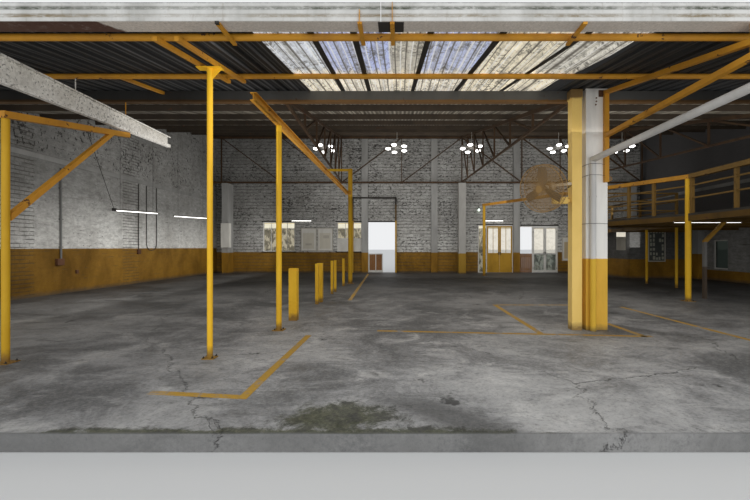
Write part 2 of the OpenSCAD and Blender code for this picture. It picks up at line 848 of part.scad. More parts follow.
module mezzanine_posts() {
    r = deck_post_dia / 2;
    foot_w = 260;
    color(yellow) {
        post(deck_turn.x, deck_turn.y, deck_post_dia, floor_t, high_rail_low(-r));
        post(far_post.x, far_post.y, deck_post_dia, floor_t, high_rail_low(high_rail_l - r));
        for (p = [deck_turn, far_post]) post_foot(p.x, p.y, foot_w);
        post(deck_front.x, deck_front.y, deck_post_dia, floor_t, deck_beam_z);
        for (p = [deck_corner, deck_step, for (d = deck_support_d) [deck_step.x, d]])
            post(p.x, p.y, slim_post_dia, floor_t, deck_beam_z);
    }
}

// Stands its outline of lengths and heights upright on the line of the high rail
module on_high_rail(w) {
    behind(deck_turn.y, deck_turn.x) rotate([0, 0, atan2(high_rail_run.y, high_rail_run.x)])
        rotate([90, 0, 0]) translate([0, 0, -w / 2]) linear_extrude(w) children();
}

module high_rail() {
    ends = [-deck_post_dia / 2, high_rail_l + deck_post_dia / 2];
    color(yellow) on_high_rail(rail_w)
        polygon([[ends[0], high_rail_low(ends[0])], [ends[1], high_rail_low(ends[1])],
                 [ends[1], high_rail_low(ends[1]) + rail_w], [ends[0], high_rail_low(ends[0]) + rail_w]]);
}

rail_bar = 40;
rail_post_w = 80;
small_rail_w = 50;
rail_levels = [400, 750];
rail_end_gap = 16;

// A flat length of railing along a line, with posts at the given distances and bars between two ends
module railing(a, b, posts, bars, top_h) {
    run = b - a;
    behind(a.y, a.x, deck_z) rotate([0, 0, atan2(run.y, run.x)]) {
        for (s = posts) translate([s - rail_post_w / 2, -rail_post_w / 2, 0])
            cube([rail_post_w, rail_post_w, top_h]);
        for (z = rail_levels) translate([bars[0], -rail_bar / 2, z])
            cube([bars[1] - bars[0], rail_bar, rail_bar]);
        children();
    }
}

// The top rail between two distances along a length of railing
module top_rail(ends, w) {
    translate([ends[0], -w / 2, rail_h - w]) cube([ends[1] - ends[0], w, w]);
}

module mezzanine_railing() {
    inset = rail_post_w / 2;
    post_r = deck_post_dia / 2 + seat_gap;
    front_l = deck_turn.y - deck_front.y - post_r;
    front_posts = [0, front_l / 2, front_l - rail_post_w];
    turn_posts = [1030, 1900, 2800, 3800];
    step_l = deck_step.x - deck_corner.x - inset - seat_gap;
    back_l = inner_d - deck_step.y - inset;
    wall_l = inner_x - deck_front.x - inset - 2 * seat_gap;
    color(yellow) {
        railing([deck_front.x + inset + seat_gap, deck_front.y], [inner_x, deck_front.y],
                [for (i = [1 : 4]) i * wall_l / 4 - inset], [0, wall_l - inset], rail_h - overlap)
            top_rail([0, wall_l], small_rail_w);
        railing(deck_front, deck_turn, front_posts, [0, front_l], rail_h - overlap)
            top_rail([-inset, front_l - rail_end_gap], rail_w);
        difference() {
            railing(deck_turn, deck_corner, turn_posts, [post_r, turn_posts[3]], rail_h);
            on_high_rail(2 * rail_w)
                polygon([[0, high_rail_low(0)], [high_rail_l, high_rail_low(high_rail_l)],
                         [high_rail_l, rail_z + rail_h], [0, rail_z + rail_h]]);
        }
        railing(deck_corner, deck_step, [150, step_l / 2], [150, step_l], rail_h - overlap)
            top_rail([150 - inset, step_l], small_rail_w);
        railing(deck_step, [deck_step.x, inner_d], [for (i = [0 : 4]) i * back_l / 4], [0, back_l],
                rail_h - overlap)
            top_rail([-inset, back_l + inset], small_rail_w);
    }
}

module propped_post() {
    x = 7250;
    d = joist_d[1];
    r = 42;
    top = floor_t + 1700;
    prop_x = [x + 620, x + 500];
    color("#7b5b45") {
        block(x - r, x + r, d - r, d + r, floor_t, top);
        along(d - r, d + r)
            polygon([[x - r, top], [x + r, top - 60], for (end = prop_x) [end, deck_beam_z]]);
    }
}

// Bollards, each as its distance behind the gutter face and its width
bollard_h = 1070;
bollard_rows = [[4130, 165], [6450, 80], [6850, 150], [8810, 80], [9450, 80], [11450, 90]];

module bollards() {
    color(yellow) for (b = bollard_rows) difference() {
        block(hoist_x - b[1] / 2, hoist_x + b[1] / 2, b[0] - b[1] / 2, b[0] + b[1] / 2,
              floor_t, floor_t + bollard_h);
        block(hoist_x - b[1] / 2 + 8, hoist_x + b[1] / 2 - 8, b[0] - b[1] / 2 + 8,
              b[0] + b[1] / 2 - 8, floor_t + bollard_h - 25, floor_t + bollard_h + overlap);
    }
}

// Lighting

lamp_x = [-5260, -1840, 1690, 5800, 8800];
lamp_purlin = 5;
lamp_drop_h = 6180;
lamps_each = 5;
lamp_ring_turn = 35;
// The clusters hang with their front edge a little higher
lamp_tilt = 11;

module lamp_cluster() {
    ring_r = 420;
    translate([0, 0, 20]) cylinder(d = 220, h = 70);
    for (i = [0 : lamps_each - 1]) rotate([0, 0, i * 360 / lamps_each + lamp_ring_turn]) {
        translate([0, -12, 40]) cube([ring_r, 24, 30]);
        translate([ring_r, 0, 0]) cylinder(d1 = 250, d2 = 180, h = 75);
        translate([ring_r, 0, 74]) cylinder(d = 130, h = 60);
    }
}

module lamp_clusters() {
    d = first_purlin_d + lamp_purlin * purlin_step;
    stem_d = d + purlin_h * sin(roof_pitch);
    stem_top = roof_z(d) - purlin_h * cos(roof_pitch) - 3.5;
    color("#e9e9e4") for (x = lamp_x) {
        behind(stem_d, x, floor_t + lamp_drop_h) rotate([-lamp_tilt, 0, 0]) lamp_cluster();
        post(x, stem_d, 26, floor_t + lamp_drop_h + 60, stem_top);
    }
}

// One tube fitting centred on its own length, which lies along X
module tube_fitting(length) {
    translate([-length / 2, -35, 38]) cube([length, 70, 50]);
    translate([-length / 2 + 20, 0, 18]) rotate([0, 90, 0]) cylinder(d = 32, h = length - 40);
    for (s = [-1, 1]) translate([s * (length / 2 - 15) - 15, -20, 0]) cube([30, 40, 40]);
}

hung_tubes = [[615 - inner_x, 11650], [1300 - inner_x, 14400]];
hung_tube_h = 2880;
hung_tube_turn = 59;

module tube_lights() {
    color("white") {
        for (t = hung_tubes) {
            behind(t[1], t[0], floor_t + hung_tube_h) rotate([0, 0, hung_tube_turn]) tube_fitting(1600);
            for (s = [-1, 1]) {
                d = t[1] + s * 600 * sin(hung_tube_turn);
                post(t[0] + s * 600 * cos(hung_tube_turn), d, 10, floor_t + hung_tube_h + 80,
                     roof_z(d - 5));
            }
        }
        behind(inner_d - 35, -7600, floor_t + 3080) tube_fitting(1200);
        behind(inner_d - 35, 3870, floor_t + 3080) tube_fitting(1260);
        behind(7850, 7520, deck_low_z - 150) tube_fitting(2060);
        for (s = [-1, 1]) post(7520 + s * 800, 7850, 16, deck_low_z - 70, deck_low_z);
    }
}

// Windows and boards

module frame_ring(x, z, d, depth, w) {
    along(d, d + depth) difference() {
        translate([x[0], z[0]]) square([x[1] - x[0], z[1] - z[0]]);
        translate([x[0] + w, z[0] + w]) square([x[1] - x[0] - 2 * w, z[1] - z[0] - 2 * w]);
    }
}

window_frame_d = inner_d + 60;
window_frame_t = 60;
panel_rail_h = 2010;
panel_rail_z = floor_t + panel_rail_h;
side_light_x = [yellow_door_x[0], yellow_door_x[0] + 490];

module window_frames() {
    mid = (hatch_window_x[0] + hatch_window_x[1]) / 2;
    color("#e6e4dd") {
        frame_ring(hatch_window_x, window_z, window_frame_d, window_frame_t, frame_w);
        block(mid - frame_w / 2, mid + frame_w / 2, window_frame_d, window_frame_d + window_frame_t,
              window_z[0] + frame_w - overlap, window_z[1] - frame_w + overlap);
        frame_ring(panel_window_x, window_z, window_frame_d, window_frame_t, frame_w);
        block(panel_window_x[0] + frame_w - overlap, panel_window_x[1] - frame_w + overlap,
              window_frame_d, window_frame_d + window_frame_t, panel_rail_z, panel_rail_z + frame_w);
        block(panel_window_x[0] + frame_w - overlap, panel_window_x[1] - frame_w + overlap,
              window_frame_d + 20, window_frame_d + 40, window_z[0] + frame_w - overlap,
              panel_rail_z + overlap);
        across(inner_x + 60, inner_x + 120) difference() {
            translate([side_window[0][0], floor_t + side_window[1][0]])
                square([side_window[0][1] - side_window[0][0], side_window[1][1] - side_window[1][0]]);
            translate([side_window[0][0] + frame_w, floor_t + side_window[1][0] + frame_w])
                square([side_window[0][1] - side_window[0][0] - 2 * frame_w,
                        side_window[1][1] - side_window[1][0] - 2 * frame_w]);
        }
    }
}

module pane(x1, x2, z1, z2, d) {
    block(x1, x2, d - glass_t / 2, d + glass_t / 2, z1, z2);
}

module window_glass() {
    mid = (hatch_window_x[0] + hatch_window_x[1]) / 2;
    d = window_frame_d + window_frame_t / 2;
    f = frame_w;
    color("#bcd0d6", 0.4) {
        pane(hatch_window_x[0] + f, mid - f / 2, window_z[0] + f, window_z[1] - f, d);
        pane(mid + f / 2, hatch_window_x[1] - f, window_z[0] + f, window_z[1] - f, d);
        pane(panel_window_x[0] + f, panel_window_x[1] - f, panel_rail_z + f, window_z[1] - f, d);
        pane(side_light_x[0] + f, side_light_x[1], floor_t + f, floor_t + yellow_door_h - f,
             inner_d + leaf_t);
        block(inner_x + 90 - glass_t / 2, inner_x + 90 + glass_t / 2, side_window[0][0] + f,
              side_window[0][1] - f, floor_t + side_window[1][0] + f, floor_t + side_window[1][1] - f);
    }
}

// Boards and the cabinet, each as its cross positions and its heights above the floor
hatch_boards = [[[-7640, -6700], [1290, 2670]], [[-6640, -5720], [1290, 2670]]];
notice_board = [[8020, 8560], [700, 2130]];
room_board = [[10390, 11220], [990, 2050]];
cabinet = [[end_pilaster_x[0] - 125, end_pilaster_x[0] + 375], [1500, 2900]];
board_t = 30;
cabinet_t = 250;

module board(b, back, t) {
    block(b[0][0], b[0][1], back - t, back, floor_t + b[1][0], floor_t + b[1][1]);
}

module wall_boards() {
    color("#efeee8") {
        for (b = hatch_boards) board(b, inner_d, board_t);
        board(notice_board, inner_d, board_t);
        board(room_board, corner_room_d, board_t);
        board(cabinet, end_pilaster_d, cabinet_t);
    }
}

// Doors

hinge_r = 7;
hinge_out = 12;
knuckle_h = 40;
knuckle_gap = 0.3;
plate_reach = [34, 40];
plate_out = 10;
plate_back = 5;

// Knuckles of the fixed side when part is 0 and of the leaf when part is 1
module hinge(x, side, z, part) {
    levels = part == 0 ? [0, 2] : [1];
    reach = part == 0 ? -side * plate_reach[0] : side * plate_reach[1];
    seat = part == 0 ? 0 : side * leaf_gap;
    for (k = levels) {
        low = z + k * knuckle_h + part * knuckle_gap;
        high = z + (k + 1) * knuckle_h - part * knuckle_gap;
        post(x, inner_d - hinge_out, 2 * hinge_r, low, high);
        block(min(x, x + reach), max(x, x + reach), inner_d - plate_out, inner_d - plate_back,
              low, high);
        block(min(x + seat, x + reach), max(x + seat, x + reach), inner_d - plate_out,
              inner_d + overlap, low, high);
    }
}

function hinge_levels(h) = [floor_t + 0.12 * h, floor_t + 0.82 * h];

// Positions of the hinge axes
yellow_hinge_x = [side_light_x[1] + frame_w, yellow_door_x[1] - frame_w];
glass_hinge_x = [6280, glass_door_x[1] - frame_w];
gate_jamb_w = 40;
gate_hinge_x = gateway_x[0] + gate_jamb_w;
slat_hinge_x = glass_door_x[0] + frame_w;
gate_leaf_w = 830;

module door_frame(x, h, posts) {
    depth = 80;
    block(x[0], x[1], inner_d, inner_d + depth, floor_t + h - frame_w, floor_t + h);
    for (p = posts)
        block(p, p + frame_w, inner_d, inner_d + depth, floor_t, floor_t + h - frame_w + overlap);
}

module door_frames() {
    color("#d8b85a") {
        door_frame(yellow_door_x, yellow_door_h,
                   [yellow_door_x[0], side_light_x[1], yellow_door_x[1] - frame_w]);
        for (i = [0, 1], z = hinge_levels(yellow_door_h)) hinge(yellow_hinge_x[i], i == 0 ? 1 : -1, z, 0);
        block(side_light_x[0] + frame_w - overlap, side_light_x[1] + overlap, inner_d,
              inner_d + 80, floor_t, floor_t + frame_w);
    }
    color("white") {
        door_frame(glass_door_x, glass_door_h,
                   [glass_door_x[0], glass_hinge_x[0] - frame_w, glass_door_x[1] - frame_w]);
        for (i = [0, 1], z = hinge_levels(glass_door_h)) hinge(glass_hinge_x[i], i == 0 ? 1 : -1, z, 0);
        for (z = hinge_levels(low_gate_h)) hinge(slat_hinge_x, 1, z, 0);
        block(gateway_x[0], gate_hinge_x, inner_d, inner_d + 60, floor_t, floor_t + low_gate_h);
        for (z = hinge_levels(low_gate_h)) hinge(gate_hinge_x, 1, z, 0);
    }
}

gateway_post_x = [-4560, -1990];
gateway_frame_h = 4500;
gateway_bar = [90, 60, 80];

module gateway_frame() {
    front = inner_d - pilaster_t - gateway_bar[1];
    back = front + gateway_bar[1];
    top = floor_t + gateway_frame_h;
    color(yellow) {
        for (x = gateway_post_x) block(x, x + gateway_bar[0], front, back, floor_t, top);
        block(gateway_post_x[0], gateway_post_x[1] + gateway_bar[0], front, back, top - gateway_bar[2], top);
    }
}

// A leaf in its closed place, from its hinge side, with glass over a solid panel
module glazed_leaf(x, side, width, h, solid_h) {
    low = floor_t + leaf_gap;
    high = floor_t + h;
    x1 = side > 0 ? x : x - width;
    stile = 70;
    bars = [[stile, solid_h - stile], [solid_h + stile / 2, high - low - stile]];
    difference() {
        block(x1, x1 + width, inner_d, inner_d + leaf_t, low, high);
        for (b = bars, face = [0, 1])
            block(x1 + stile, x1 + width - stile,
                  face == 0 ? inner_d - overlap : inner_d + (leaf_t + glass_t) / 2,
                  face == 0 ? inner_d + (leaf_t - glass_t) / 2 : inner_d + leaf_t + overlap,
                  low + b[0], low + b[1]);
    }
    handle_x = side > 0 ? x1 + width - stile / 2 : x1 + stile / 2;
    block(handle_x - 12, handle_x + 12, inner_d - 35, inner_d + overlap, low + 1000, low + 1120);
}

yellow_leaf_w = (yellow_hinge_x[1] - yellow_hinge_x[0] - 3 * leaf_gap) / 2;
glass_leaf_w = (glass_hinge_x[1] - glass_hinge_x[0] - 3 * leaf_gap) / 2;
solid_panel_h = 1130;

module hinged_leaf(x, side, width, h, solid_h) {
    glazed_leaf(x + side * leaf_gap, side, width, h, solid_h);
    for (z = hinge_levels(h + frame_w + leaf_gap)) hinge(x, side, z, 1);
}

module yellow_door_left() {
    color(yellow) hinged_leaf(yellow_hinge_x[0], 1, yellow_leaf_w, yellow_door_h - frame_w - leaf_gap,
                              solid_panel_h);
}

module yellow_door_right() {
    color(yellow) hinged_leaf(yellow_hinge_x[1], -1, yellow_leaf_w, yellow_door_h - frame_w - leaf_gap,
                              solid_panel_h);
}

module glass_door_left() {
    color("white") hinged_leaf(glass_hinge_x[0], 1, glass_leaf_w, glass_door_h - frame_w - leaf_gap,
                               solid_panel_h);
}

module glass_door_right() {
    color("white") hinged_leaf(glass_hinge_x[1], -1, glass_leaf_w, glass_door_h - frame_w - leaf_gap,
                               solid_panel_h);
}

module low_gate() {
    x1 = gate_hinge_x + leaf_gap;
    low = floor_t + leaf_gap;
    stile = 50;
    half = (gate_leaf_w - 3 * stile) / 2;
    color("white") {
        difference() {
            block(x1, x1 + gate_leaf_w, inner_d, inner_d + leaf_t, low, floor_t + low_gate_h);
            for (i = [0, 1], face = [0, 1])
                block(x1 + stile + i * (half + stile), x1 + stile + i * (half + stile) + half,
                      face == 0 ? inner_d - overlap : inner_d + leaf_t / 2 + 6,
                      face == 0 ? inner_d + leaf_t / 2 - 6 : inner_d + leaf_t + overlap,
                      low + stile, floor_t + low_gate_h - stile);
        }
        for (z = hinge_levels(low_gate_h)) hinge(gate_hinge_x, 1, z, 1);
    }
}

slat_count = 6;

module slatted_gate() {
    x1 = slat_hinge_x + leaf_gap;
    width = glass_hinge_x[0] - frame_w - slat_hinge_x - 2 * leaf_gap;
    low = floor_t + leaf_gap;
    slat_w = 75;
    step = (width - slat_w) / (slat_count - 1);
    color("#8a6a45") {
        for (i = [0 : slat_count - 1])
            block(x1 + i * step, x1 + i * step + slat_w, inner_d, inner_d + 22, low, floor_t + low_gate_h);
        for (z = [low + 120, floor_t + low_gate_h - 200])
            block(x1, x1 + width, inner_d + 22 - overlap, inner_d + leaf_t, z, z + 80);
        for (z = hinge_levels(low_gate_h)) hinge(slat_hinge_x, 1, z, 1);
    }
}

// Fan

fan_x = 840;
fan_d = 2960;
fan_z = floor_t + 2550;
fan_hub_r = 55;
fan_dome = 60;
guard_rings = [0.3, 0.55, 0.8];
shaft_r = 12;
shaft_fit = 0.3;
shaft_gap = 6;
motor_l = 240;
motor_r = 75;
rotor_gap = 30;
guard_back = fan_depth / 2 + wire / 2;

// Turns the fan from facing up to facing the front, to its left and slightly down
module fan_frame() {
    behind(fan_d, fan_x, fan_z) rotate([90 + fan_tilt, 0, -fan_turn]) children();
}

// Height of a guard face above the middle plane at a radius
function guard_z(r) = fan_depth / 2 - fan_dome * pow(r / fan_r, 2);

module guard_face() {
    hub_z = guard_z(0);
    for (share = guard_rings) let (r = share * fan_r)
        translate([0, 0, guard_z(r) - wire / 2]) rotate_extrude($fn = 48)
            translate([r - wire / 2, 0]) square([wire, wire]);
    radii = [for (k = [0 : 3]) fan_hub_r + (fan_r - fan_hub_r) * k / 3];
    for (i = [0 : guard_wires - 1]) rotate([90, 0, i * 360 / guard_wires])
        translate([0, 0, -wire / 2]) linear_extrude(wire) for (k = [0 : 2])
            line([radii[k] - 2, guard_z(radii[k])], [radii[k + 1], guard_z(radii[k + 1])], wire);
    translate([0, 0, hub_z - wire / 2]) cylinder(r = fan_hub_r + 5, h = wire);
}

module fan_guard() {
    rim_h = guard_z(fan_r) + wire;
    color("#9a7d55") fan_frame() difference() {
        union() {
            guard_face();
            mirror([0, 0, 1]) guard_face();
            translate([0, 0, -rim_h]) rotate_extrude($fn = 64)
                translate([fan_r - wire, 0]) square([wire * 1.5, 2 * rim_h]);
        }
        translate([0, 0, -guard_back - overlap]) cylinder(r = shaft_r + shaft_gap, h = wire + 2 * overlap);
    }
}

module fan_motor() {
    bore_l = 80;
    arm_w = 60;
    arm_lift = 40;
    motor_axis = motor_l / 2 + guard_back;
    motor_x = fan_x + motor_axis * cos(fan_tilt) * sin(fan_turn);
    arm_z = fan_z + motor_axis * sin(fan_tilt) - arm_w / 2 + arm_lift;
    post_face = box_post_x - box_post_w / 2;
    box_x = [post_face - 320, post_face - 50];
    color("#cfc6ad") {
        difference() {
            union() {
                fan_frame() translate([0, 0, -guard_back - motor_l]) cylinder(r = motor_r, h = motor_l);
                block(motor_x, post_face, box_post_d - arm_w, box_post_d, arm_z, arm_z + arm_w);
            }
            fan_frame() translate([0, 0, -guard_back - bore_l])
                cylinder(r = shaft_r + shaft_fit, h = bore_l + overlap);
        }
        block(box_x[0], box_x[1], box_post_d - 50, box_post_d + 50, floor_t + 2300, floor_t + 2420);
        block(box_x[1] - overlap, post_face, box_post_d - 20, box_post_d + 20, floor_t + 2330,
              floor_t + 2390);
    }
}

// Outline of one blade from the hub outwards
module blade_outline(hub_r, tip_r) {
    root = 30;
    chord = 75;
    polygon([[hub_r - root / 2, -root], [tip_r * 0.6, -chord], [tip_r * 0.92, -chord],
             [tip_r, -chord / 2], [tip_r, chord / 2], [tip_r * 0.9, chord], [tip_r * 0.5, chord * 0.8],
             [hub_r - root / 2, root]]);
}

module fan_rotor() {
    hub_r = 48;
    hub_l = 90;
    blade_t = 6;
    blade_pitch = 28;
    seat_l = 55;
    color("#8f7a5a") fan_frame() {
        translate([0, 0, -hub_l / 2]) cylinder(r = hub_r, h = hub_l);
        translate([0, 0, -guard_back - seat_l]) cylinder(r = shaft_r, h = guard_back + seat_l);
        for (i = [0 : blade_count - 1]) rotate([0, 0, i * 360 / blade_count])
            rotate([blade_pitch, 0, 0]) translate([0, 0, -blade_t / 2]) linear_extrude(blade_t)
                blade_outline(hub_r, fan_r - rotor_gap);
    }
}

floor_slab();
left_wall();
right_wall();
back_wall_left();
back_wall_right();
door_lintels();
wall_pilasters();
side_wall_bands();
corner_room_walls();
concrete_columns();
front_beam();
box_post();
canopy_posts();
lower_rafter();
canopy_rafters();
canopy_purlins();
canopy_sheets();
canopy_rooflight();
column_bracket();
gutter();
gutter_brackets();
downpipe();
steel_channel();
hoist_beam();
hoist_posts();
roof_sheets();
roof_purlins();
roof_trusses();
cross_truss();
mezzanine_floor();
mezzanine_beams();
mezzanine_posts();
high_rail();
mezzanine_railing();
propped_post();
bollards();
lamp_clusters();
tube_lights();
window_frames();
window_glass();
wall_boards();
door_frames();
gateway_frame();
fan_motor();
fan_guard();
fan_rotor();
yellow_door_left();
yellow_door_right();
glass_door_left();
glass_door_right();
low_gate();
slatted_gate();
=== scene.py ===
import math
import random

import bmesh
import bpy
from mathutils import Matrix, Vector


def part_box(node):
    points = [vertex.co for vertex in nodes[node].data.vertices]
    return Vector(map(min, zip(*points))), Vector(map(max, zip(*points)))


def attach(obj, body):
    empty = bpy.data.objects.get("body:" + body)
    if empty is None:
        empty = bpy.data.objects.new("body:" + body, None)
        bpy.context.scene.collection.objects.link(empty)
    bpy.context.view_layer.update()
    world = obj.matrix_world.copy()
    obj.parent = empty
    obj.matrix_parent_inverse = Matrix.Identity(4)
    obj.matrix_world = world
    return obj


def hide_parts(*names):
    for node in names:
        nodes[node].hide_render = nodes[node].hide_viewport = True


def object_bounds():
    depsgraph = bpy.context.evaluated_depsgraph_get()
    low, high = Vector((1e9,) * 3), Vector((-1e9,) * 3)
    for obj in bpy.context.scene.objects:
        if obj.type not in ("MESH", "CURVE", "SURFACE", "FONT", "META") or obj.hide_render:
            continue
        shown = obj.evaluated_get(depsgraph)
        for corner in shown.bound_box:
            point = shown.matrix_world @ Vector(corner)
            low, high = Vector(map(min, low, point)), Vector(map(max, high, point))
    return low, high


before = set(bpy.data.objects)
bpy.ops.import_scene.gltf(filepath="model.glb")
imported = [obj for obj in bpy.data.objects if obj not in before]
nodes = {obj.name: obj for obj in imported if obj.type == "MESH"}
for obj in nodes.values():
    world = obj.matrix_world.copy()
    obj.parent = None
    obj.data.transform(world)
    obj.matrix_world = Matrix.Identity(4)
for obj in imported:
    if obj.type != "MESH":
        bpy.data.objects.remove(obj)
cadLow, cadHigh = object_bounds()
print("frame loaded:", len(nodes), "nodes")

# Distances are in metres. A place in the hall is given across, behind the gutter face and above the floor.
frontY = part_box("gutter")[0].y
floorZ = 0.15
innerX = 12.7
innerD = 19.85


def place(x, d, h):
    return Vector((x, frontY + d, floorZ + h))


# The same with the height above the ground
def groundPlace(x, d, z):
    return Vector((x, frontY + d, z))


# Camera, at the photograph's angle

view = {"across": -1.7, "inFront": 4.15, "eyeHeight": 1.5, "lens": 19.2, "shiftX": -0.0333, "shiftY": -0.0033}

cameraData = bpy.data.cameras.new("camera")
cameraData.lens = view["lens"]
cameraData.shift_x = view["shiftX"]
cameraData.shift_y = view["shiftY"]
cameraData.clip_end = 400
camera = bpy.data.objects.new("camera", cameraData)
camera.location = place(view["across"], -view["inFront"], view["eyeHeight"])
camera.rotation_euler = (math.radians(90), 0, 0)
bpy.context.scene.collection.objects.link(camera)
bpy.context.scene.camera = camera
bpy.context.scene.view_settings.view_transform = "Standard"


# Node building

# Adds nodes to one tree
class Shade:
    def __init__(self, tree):
        self.tree = tree
        self.count = 0

    def feed(self, socket, value):
        if isinstance(value, bpy.types.NodeSocket):
            self.tree.links.new(value, socket)
        else:
            socket.default_value = value

    def add(self, kind, sockets=None, **settings):
        node = self.tree.nodes.new(kind)
        self.count += 1
        node.location = (self.count % 12 * 190, -(self.count // 12) * 260)
        for key, value in settings.items():
            setattr(node, key, value)
        for key, value in (sockets or {}).items():
            self.feed(node.inputs[key], value)
        return node

    def sum(self, operation, *values, clamp=False):
        node = self.add("ShaderNodeMath", operation=operation, use_clamp=clamp)
        for socket, value in zip(node.inputs, values):
            self.feed(socket, value)
        return node.outputs[0]

    def both(self, a, b):
        return self.sum("MULTIPLY", a, b, clamp=True)

    def either(self, a, b):
        return self.sum("MAXIMUM", a, b)

    def blend(self, factor, a, b, kind="MIX"):
        node = self.add("ShaderNodeMix", data_type="RGBA", blend_type=kind)
        for index, value in ((0, factor), (6, a), (7, b)):
            if index and not isinstance(value, bpy.types.NodeSocket):
                value = (*value, 1.0)
            self.feed(node.inputs[index], value)
        return node.outputs[2]

    def spread(self, value, low, high, toLow=0.0, toHigh=1.0):
        node = self.add("ShaderNodeMapRange", {"Value": value, "From Min": low, "From Max": high,
                                               "To Min": toLow, "To Max": toHigh})
        return node.outputs[0]

    def stretch(self, vector, scale):
        return self.add("ShaderNodeVectorMath", {0: vector, 1: scale}, operation="MULTIPLY").outputs[0]

    def noise(self, vector, scale, detail=3.0, rough=0.55, warp=0.0):
        node = self.add("ShaderNodeTexNoise", {"Vector": vector, "Scale": scale, "Detail": detail,
                                               "Roughness": rough, "Distortion": warp})
        return node.outputs[0]

    def xyz(self, vector):
        return self.add("ShaderNodeSeparateXYZ", {0: vector}).outputs

    def vector(self, x, y, z):
        return self.add("ShaderNodeCombineXYZ", {0: x, 1: y, 2: z}).outputs[0]

    def toned(self, colour, tone):
        return self.blend(1.0, colour, self.vector(tone, tone, tone), "MULTIPLY")

    def effect(self, name, **sockets):
        node = self.add("ShaderNodeGroup", node_tree=bpy.data.node_groups[name])
        for key, value in sockets.items():
            self.feed(node.inputs[key], value)
        return node.outputs


def newEffect(name, inputs, outputs):
    tree = bpy.data.node_groups.new(name, "ShaderNodeTree")
    for key, value in inputs.items():
        kind = "NodeSocketVector" if value is None else "NodeSocketFloat"
        socket = tree.interface.new_socket(key, in_out="INPUT", socket_type=kind)
        if value is not None:
            socket.default_value = value
    for key in outputs:
        tree.interface.new_socket(key, in_out="OUTPUT", socket_type="NodeSocketFloat")
    shade = Shade(tree)
    return shade, shade.add("NodeGroupInput").outputs, shade.add("NodeGroupOutput").inputs


# Effects that several materials share

